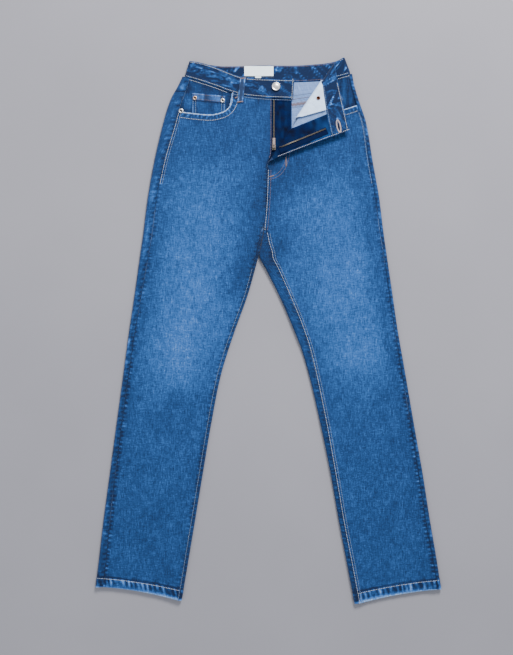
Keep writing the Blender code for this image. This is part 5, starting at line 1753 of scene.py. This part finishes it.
def zip_teeth():
    """Both rows of teeth, each tooth a small block across its tape's edge."""
    for side, reach, rise in (("right", (467.5, 378.5), 0.05), ("left", (474.0, 376.0), 0.0)):
        x = (TEETH_BOX[side][0] + TEETH_BOX[side][1]) / 2
        ys = np.linspace(*reach, 60)
        base = broad_relief(np.full(60, x), ys) * 0.8
        path = front_layer(np.full(60, x), ys, sum(TEETH_FACES[side]) / 2 + rise + base, side)
        sizes = {"Step": 0.0021, "Length": 0.0012, "Width": 0.0025, "Height": 0.0013}
        node = "zip_teeth_" + side
        finish = metal_finish("brass_worn")
        repeated(node + "_metal", [path], "tooth", sizes, finish, replaces=(node,))


# Finishes


class Value:
    """A shader socket that adds up, multiplies and compares in plain expressions."""

    def __init__(self, paint, socket):
        self.paint, self.socket = paint, socket

    def _with(self, operation, other, swap=False):
        pair = (other, self) if swap else (self, other)
        return Value(self.paint, self.paint.node("ShaderNodeMath", {"operation": operation}, pair).outputs[0])

    def __add__(self, other):
        return self._with("ADD", other)

    __radd__ = __add__

    def __sub__(self, other):
        return self._with("SUBTRACT", other)

    def __rsub__(self, other):
        return self._with("SUBTRACT", other, True)

    def __mul__(self, other):
        return self._with("MULTIPLY", other)

    __rmul__ = __mul__

    def __truediv__(self, other):
        return self._with("DIVIDE", other)

    def sine(self):
        return Value(self.paint, self.paint.node("ShaderNodeMath", {"operation": "SINE"}, (self,)).outputs[0])

    def clamped(self):
        return Value(self.paint, self.paint.node("ShaderNodeClamp", {}, (self,)).outputs[0])


class Paint:
    """The nodes of one finish."""

    def __init__(self, name):
        self.material = bpy.data.materials.new(name)
        self.material.use_nodes = True
        self.tree = self.material.node_tree
        self.shader = self.tree.nodes["Principled BSDF"]

    def node(self, kind, settings=None, inputs=()):
        """A node of that kind: its settings first, then the values or links of its inputs."""
        made = self.tree.nodes.new(kind)
        for name, value in (settings or {}).items():
            if name == "stops":
                ramp = made.color_ramp
                while len(ramp.elements) < len(value):
                    ramp.elements.new(1.0)
                for element, (place, colour) in zip(ramp.elements, value):
                    element.position = place
                    element.color = (*colour, 1.0)
            else:
                setattr(made, name, value)
        items = inputs.items() if isinstance(inputs, dict) else enumerate(inputs)
        for key, value in items:
            self.feed(made.inputs[key], value)
        return made

    def feed(self, socket, value):
        """Links a socket to the input, or sets its plain value."""
        if isinstance(value, Value):
            value = value.socket
        if isinstance(value, bpy.types.NodeSocket):
            self.tree.links.new(value, socket)
        else:
            socket.default_value = value

    def value(self, node, output=0):
        """One output of a node, for expressions."""
        return Value(self, node.outputs[output])

    def cloth(self):
        """Cloth coordinates along and across, in metres."""
        uv = self.node("ShaderNodeUVMap", {"uv_map": "cloth"})
        parts = self.node("ShaderNodeSeparateXYZ", {}, (uv.outputs["UV"],))
        return Value(self, parts.outputs["X"]), Value(self, parts.outputs["Y"])

    def place(self):
        """Coordinates of the piece itself, in metres."""
        place = self.node("ShaderNodeTexCoord")
        parts = self.node("ShaderNodeSeparateXYZ", {}, (place.outputs["Object"],))
        return [Value(self, parts.outputs[axis]) for axis in "XYZ"]

    def attribute(self, name):
        """A number that the mesh stores at each point."""
        return self.value(self.node("ShaderNodeAttribute", {"attribute_name": name}), "Fac")

    def noise(self, x, y, z=0.0, detail=2.0, roughness=0.5):
        """Noise of unit lumps at scaled coordinates, from 0 to 1."""
        place = self.node("ShaderNodeCombineXYZ", {}, (x, y, z))
        made = self.node(
            "ShaderNodeTexNoise",
            {"noise_dimensions": "3D"},
            {"Vector": place.outputs[0], "Scale": 1.0, "Detail": detail, "Roughness": roughness},
        )
        return self.value(made, 0)

    def mix(self, factor, first, second):
        """A colour between two, the second where the factor is 1."""
        made = self.node("ShaderNodeMix", {"data_type": "RGBA"}, {"Factor": factor})
        self.feed(made.inputs[6], first)
        self.feed(made.inputs[7], second)
        return made.outputs[2]

    def finish(self, **sockets):
        """The material, once the shader's sockets are set."""
        for name, value in sockets.items():
            self.feed(self.shader.inputs[name.replace("_", " ")], value)
        return self.material

    def bump(self, height, distance, strength=1.0):
        """The normal of a small relief, its height in metres."""
        made = self.node("ShaderNodeBump", {}, {"Height": height, "Distance": distance, "Strength": strength})
        return made.outputs["Normal"]


def once(maker):
    """The same material each time that a finish is asked for."""
    kept = {}

    def made(*args):
        if args not in kept:
            kept[args] = maker(*args)
        return kept[args]

    return made


def colours():
    """The colours that a user may change."""
    return bpy.context.scene.jeans_colours


def colour(name):
    """One of them, with its opacity."""
    return (*getattr(colours(), name), 1.0)


@once
def denim_finish():
    """Washed indigo twill: pale where it is worn, darker where its wear carries painted shade, streaked along
    the warp, paler on the reverse.
    """
    paint = Paint("denim_twill")
    u, v = paint.cloth()
    wear, reverse = paint.attribute("wear"), paint.attribute("reverse")
    slub = paint.noise(u * 1100, v * 70, 0.0, 2.0) - 0.5
    weft = paint.noise(u * 90, v * 1300, 4.0, 1.0) - 0.5
    streak = paint.noise(u * 330, v * 56, 20.0, 2.0) - 0.5
    cross = paint.noise(u * 58, v * 340, 24.0, 2.0) - 0.5
    mottle = paint.noise(u * 340, v * 310, 8.0, 2.0, 0.6) - 0.5
    cloud = paint.noise(u * 22, v * 17, 12.0, 2.0) - 0.5
    twill = ((u * 0.92 + v * 0.62) * (2 * math.pi / 0.00115)).sine()
    grain = slub * 0.52 + weft * 0.34 + streak * 0.26 + cross * 0.20 + mottle * 0.40 + cloud * 0.07
    # wear carries real wear and painted shade alike
    tone = wear + 0.29 + grain + twill * 0.03
    tones = paint.node(
        "ShaderNodeValToRGB",
        {"stops": [
            (0.0, tuple(colours().denim_darkest)),
            (0.30, tuple(colours().denim_body)),
            (0.55, tuple(colours().denim_faded)),
            (0.78, tuple(colours().denim_light)),
            (1.0, tuple(colours().denim_worn)),
        ]},
        (tone.clamped(),),
    )
    yarns = twill * 0.12 + slub * 1.2 + streak * 0.9 + cross * 0.9 + wear * 0.6 + 0.45
    back = paint.mix(yarns.clamped(), colour("reverse_dark"), colour("reverse_pale"))
    base = paint.mix((reverse * 0.9).clamped(), tones.outputs[0], back)
    height = twill * 0.35 + slub * 1.3 + weft * 0.7 + mottle * 1.2
    normal = paint.bump(height, 0.00035, 0.7)
    return paint.finish(
        Base_Color=base, Roughness=0.88, Normal=normal, Sheen_Weight=0.08, Specular_IOR_Level=0.19
    )


# Plain weaves: both tones, the pitch, the roughness, the tone of worn places (for the pocketing, the painted
# shade of its creases), and how patchy the weave is
WEAVES = {
    "navy_twill": ("navy_dark", "navy_light", 0.0011, 0.9, "denim_body", 2.2),
    "pocketing_cotton": ("bag_shade", "bag_light", 0.0009, 0.9, "bag_painted_crease_shade", 0.5),
    "label_satin": ("label_shade", "label_light", 0.0006, 0.6, "label_light", 0.5),
    "zip_tape_weave": ("navy_dark", "navy_light", 0.0008, 0.9, "navy_light", 0.5),
}


@once
def weave_finish(name):
    """A plain weave of two close tones."""
    dark, light, pitch, roughness, worn, patchy = WEAVES[name]
    paint = Paint(name)
    u, v = paint.cloth()
    across = (u * (2 * math.pi / pitch)).sine()
    along = (v * (2 * math.pi / pitch)).sine()
    grain = paint.noise(u * 700, v * 500, 1.0, 2.0) - 0.5
    cloud = paint.noise(u * 60, v * 60, 5.0, 2.0) - 0.5
    weave = across * along
    tone = (weave * 0.12 + grain * 0.6 + cloud * patchy + 0.5).clamped()
    base = paint.mix(tone, colour(dark), colour(light))
    # where the mesh's wear is high, the worn tone: real wear on the fly pieces, painted shade in the creases
    # of the pocketing
    base = paint.mix((paint.attribute("wear") * 1.2).clamped(), base, colour(worn))
    normal = paint.bump(weave * 0.6 + grain, 0.0002, 0.7)
    return paint.finish(Base_Color=base, Roughness=roughness, Normal=normal, Specular_IOR_Level=0.12)


@once
def thread_finish(name):
    """Spun thread of two close tones."""
    paint = Paint(name)
    x, y, _ = paint.place()
    grain = paint.noise(x * 300, y * 300, 0.0, 2.0)
    base = paint.mix(grain, colour(name + "_shade"), colour(name))
    return paint.finish(Base_Color=base, Roughness=0.7, Sheen_Weight=0.2)


# Metals: the light and the dark colour, and the roughness
METALS = {
    "nickel_worn": ((0.82, 0.80, 0.79), (0.50, 0.47, 0.46), 0.32),
    "copper_worn": ((0.62, 0.45, 0.36), (0.36, 0.22, 0.16), 0.40),
    "copper_dark": ((0.15, 0.052, 0.026), (0.065, 0.022, 0.012), 0.5),
    # the pull tab's brass, painted paler than the slider's brass as a painted highlight
    "pull_worn": ((0.36, 0.29, 0.26), (0.17, 0.13, 0.12), 0.42),
    "brass_worn": ((0.170, 0.150, 0.112), (0.065, 0.056, 0.045), 0.46),
}


@once
def metal_finish(name):
    """Worn metal: darker in patches and in its dish, with fine scratches."""
    light, dark, roughness = METALS[name]
    paint = Paint(name)
    x, y, z = paint.place()
    patch = paint.noise(x * 500, y * 500, z * 500, 3.0, 0.6)
    scratch = paint.noise(x * 2600, y * 400, z * 900, 2.0)
    base = paint.mix((patch * 1.3 - 0.2).clamped(), (*dark, 1), (*light, 1))
    base = paint.mix(paint.attribute("hollow").clamped(), base, (*(part * 0.06 for part in dark), 1))
    rough = (scratch - 0.5) * 0.25 + roughness
    normal = paint.bump(patch * 0.6 + scratch * 0.4, 0.0001, 0.5)
    return paint.finish(Base_Color=base, Metallic=1.0, Roughness=rough, Normal=normal)


@once
def floor_finish():
    """A pale floor of two close greys."""
    paint = Paint("pale_floor")
    x, y, _ = paint.place()
    cloud = paint.noise(x * 3, y * 3, 0.0, 3.0)
    base = paint.mix(cloud, (0.232, 0.224, 0.250, 1), (0.280, 0.270, 0.300, 1))
    return paint.finish(Base_Color=base, Roughness=0.95)


# What a user may change


def tone(name, about, default):
    """A colour property."""
    return bpy.props.FloatVectorProperty(
        name=name, description=about, default=default, size=3, subtype="COLOR", min=0, max=1
    )


def extent(name, about, default, low, high):
    """A length property, in metres."""
    return bpy.props.FloatProperty(
        name=name, description=about, default=default, min=low, max=high, unit="LENGTH"
    )


class JeansColours(bpy.types.PropertyGroup):
    """Colours of the cloth and the thread."""

    denim_darkest: tone("Denim darkest", "Unworn indigo in seams and shadows", (0.0015, 0.010, 0.042))
    denim_body: tone("Denim", "The washed indigo of most of the cloth", (0.0050, 0.037, 0.131))
    denim_faded: tone("Denim faded", "The thighs, where the wash has taken more", (0.029, 0.119, 0.370))
    denim_light: tone("Denim light", "Rubbed cloth", (0.15, 0.30, 0.58))
    denim_worn: tone("Denim worn", "Edges worn to the white yarn", (0.55, 0.62, 0.70))
    reverse_dark: tone("Reverse dark", "The darker yarns on the inside", (0.11, 0.18, 0.37))
    reverse_pale: tone("Reverse pale", "The pale yarns on the inside", (0.24, 0.36, 0.63))
    navy_dark: tone("Navy dark", "Fly shield and facing, darker yarn", (0.0, 0.0012, 0.010))
    navy_light: tone("Navy light", "Fly shield and facing, lighter yarn", (0.0, 0.0070, 0.048))
    bag_shade: tone("Pocketing shade", "Pocket bag cotton, shaded yarn", (0.50, 0.64, 0.98))
    bag_light: tone("Pocketing", "Pocket bag cotton", (0.70, 0.86, 1.0))
    # Painted shade in the creases of the pocket bag
    bag_painted_crease_shade: tone("Pocketing crease", "Pocket bag cotton, in its creases", (0.20, 0.24, 0.40))
    label_shade: tone("Label shade", "Label satin, shaded yarn", (0.80, 0.93, 1.0))
    label_light: tone("Label", "Label satin", (0.90, 0.98, 1.0))
    thread_pale: tone("Thread", "Topstitching", (0.66, 0.66, 0.66))
    thread_pale_shade: tone("Thread shade", "Shaded strands of the topstitching", (0.34, 0.38, 0.46))
    thread_grey: tone("Grey thread", "Second line of the leg seams", (0.26, 0.34, 0.46))
    thread_grey_shade: tone("Grey thread shade", "Shaded strands of the grey thread", (0.10, 0.17, 0.30))
    # Painted shadow: the dark thread of the rows beside the yoke seam and under the label
    thread_dark: tone("Dark thread", "Edges of the yoke seam, inside", (0.075, 0.095, 0.16))
    thread_dark_shade: tone("Dark thread shade", "Shaded strands of the dark thread", (0.035, 0.05, 0.10))
    thread_rose: tone("Rose thread", "The buttonhole", (0.52, 0.43, 0.42))
    thread_rose_shade: tone("Rose thread shade", "Shaded strands of the buttonhole", (0.22, 0.16, 0.17))
    thread_tan: tone("Tan thread", "Bartacks, fly and inside seams", (0.21, 0.125, 0.115))
    thread_tan_shade: tone("Tan thread shade", "Shaded strands of the tan thread", (0.085, 0.058, 0.072))


class JeansSizes(bpy.types.PropertyGroup):
    """What the camera sees."""

    camera_height: extent("Camera height", "Height of the camera above the surface", 2.2, 1, 6)
    picture_height: extent("Picture height", "How much of the surface it sees, along y", 1.330, 0.5, 4)


# Operators


class JEANS_OT_legs(bpy.types.Operator):
    """Make both front panels, both back panels and the yokes"""

    bl_idname = "jeans.legs"
    bl_label = "Legs and yokes"

    def execute(self, context):
        for side in ("right", "left"):
            back = back_panel(side)
            declare_cloth(back)
            declare_cloth(front_panel(side))
            declare_cloth(yoke(side))
        return {"FINISHED"}


class JEANS_OT_pockets(bpy.types.Operator):
    """Make the pocket facings, the coin pocket, the pocket bag and the back pockets"""

    bl_idname = "jeans.pockets"
    bl_label = "Pockets"

    def execute(self, context):
        for side in ("right", "left"):
            declare_cloth(pocket_facing(side))
            declare_cloth(back_pocket(side))
        declare_cloth(coin_pocket())
        declare_cloth(pocket_bag())
        return {"FINISHED"}


class JEANS_OT_waistband(bpy.types.Operator):
    """Make the waistband, the belt loops, the label and the size tab"""

    bl_idname = "jeans.waistband"
    bl_label = "Waistband"

    def execute(self, context):
        band = waistband()
        declare_cloth(band)
        loops = back_loops()
        for side, (top, foot) in FRONT_LOOPS.items():
            loops.append(front_loop("loop_cloth_front_" + side, "loop_front_" + side, top, foot, side))
        for loop in loops:
            declare_cloth(loop)
        for label in labels():
            if label.name != "size_tab_cloth":
                declare_cloth(label)
        return {"FINISHED"}


class JEANS_OT_fly(bpy.types.Operator):
    """Make the fly shield, the facing and the zip"""

    bl_idname = "jeans.fly"
    bl_label = "Fly and zip"

    def execute(self, context):
        shield, facing = fly_pieces()
        declare_cloth(shield)
        declare_cloth(facing)
        for tape, below in zip(zip_tapes(), (shield, facing)):
            declare_cloth(tape)
        zip_teeth()
        return {"FINISHED"}


class JEANS_OT_stitches(bpy.types.Operator):
    """Sew the topstitching"""

    bl_idname = "jeans.stitches"
    bl_label = "Stitches"

    def execute(self, context):
        stitches()
        return {"FINISHED"}


class JEANS_OT_metal(bpy.types.Operator):
    """Set the button and the rivets, and finish the slider and its pull tab"""

    bl_idname = "jeans.metal"
    bl_label = "Metal"

    def execute(self, context):
        metal()
        return {"FINISHED"}


# The floor lies this far under the cloth, in metres, so that the two faces never coincide
FLOOR_GAP = 0.0003
FLOOR_REACH = 20.0
SENSOR_HEIGHT = 24.0
CAMERA_PLACE = (-0.0233, 0.0074)
SKY_COLOUR = (0.86, 0.93, 1.0, 1)
SKY_STRENGTH = 0.80


class JEANS_OT_stage(bpy.types.Operator):
    """Set the floor, the lights and the camera"""

    bl_idname = "jeans.stage"
    bl_label = "Stage"

    def execute(self, context):
        sizes = context.scene.jeans_sizes
        mesh = bpy.data.meshes.new("floor")
        ways = ((-1, -1), (1, -1), (1, 1), (-1, 1))
        corners = [(x * FLOOR_REACH, y * FLOOR_REACH, -FLOOR_GAP) for x, y in ways]
        mesh.from_pydata(corners, [], [(0, 1, 2, 3)])
        mesh.materials.append(floor_finish())
        floor = bpy.data.objects.new("floor", mesh)
        context.scene.collection.objects.link(floor)
        for name, place, size, power in (
            ("key_light", (0.75, 2.15, 1.85), 0.9, 158.0),
            ("fill_light", (-1.6, -0.6, 2.6), 3.0, 30.0),
        ):
            data = bpy.data.lights.new(name, "AREA")
            data.energy, data.size = power, size
            light = bpy.data.objects.new(name, data)
            light.location = place
            light.rotation_euler = (-Vector(place)).to_track_quat("-Z", "Y").to_euler()
            context.scene.collection.objects.link(light)
        world = bpy.data.worlds.new("soft_daylight")
        world.use_nodes = True
        sky = world.node_tree.nodes["Background"]
        sky.inputs["Color"].default_value = SKY_COLOUR
        sky.inputs["Strength"].default_value = SKY_STRENGTH
        context.scene.world = world
        camera = bpy.data.cameras.new("camera")
        camera.sensor_fit = "VERTICAL"
        camera.sensor_height = SENSOR_HEIGHT
        camera.lens = SENSOR_HEIGHT * sizes.camera_height / sizes.picture_height
        seen = bpy.data.objects.new("camera", camera)
        x, y = CAMERA_PLACE
        seen.location = (x + SHIFT[0] * MM, y + SHIFT[1] * MM, sizes.camera_height)
        context.scene.collection.objects.link(seen)
        context.scene.camera = seen
        return {"FINISHED"}


STEPS = (
    JEANS_OT_legs, JEANS_OT_pockets, JEANS_OT_waistband, JEANS_OT_fly, JEANS_OT_stitches, JEANS_OT_metal,
    JEANS_OT_stage,
)


class JEANS_PT_panel(bpy.types.Panel):
    """Lists the pieces and their colours"""

    bl_idname = "JEANS_PT_panel"
    bl_label = "Jeans"
    bl_space_type = "VIEW_3D"
    bl_region_type = "UI"
    bl_category = "Jeans"

    def draw(self, context):
        for step in STEPS:
            self.layout.operator(step.bl_idname)
        for group in (context.scene.jeans_colours, context.scene.jeans_sizes):
            for name in group.__annotations__:
                self.layout.prop(group, name)


CLASSES = (JeansColours, JeansSizes, *STEPS, JEANS_PT_panel)


def register():
    for made in CLASSES:
        bpy.utils.register_class(made)
    bpy.types.Scene.jeans_colours = bpy.props.PointerProperty(type=JeansColours)
    bpy.types.Scene.jeans_sizes = bpy.props.PointerProperty(type=JeansSizes)


def unregister():
    del bpy.types.Scene.jeans_colours
    del bpy.types.Scene.jeans_sizes
    for made in reversed(CLASSES):
        bpy.utils.unregister_class(made)


def main():
    register()
    for step in STEPS:
        group, name = step.bl_idname.split(".")
        getattr(getattr(bpy.ops, group), name)()


if __name__ == "__main__":
    main()
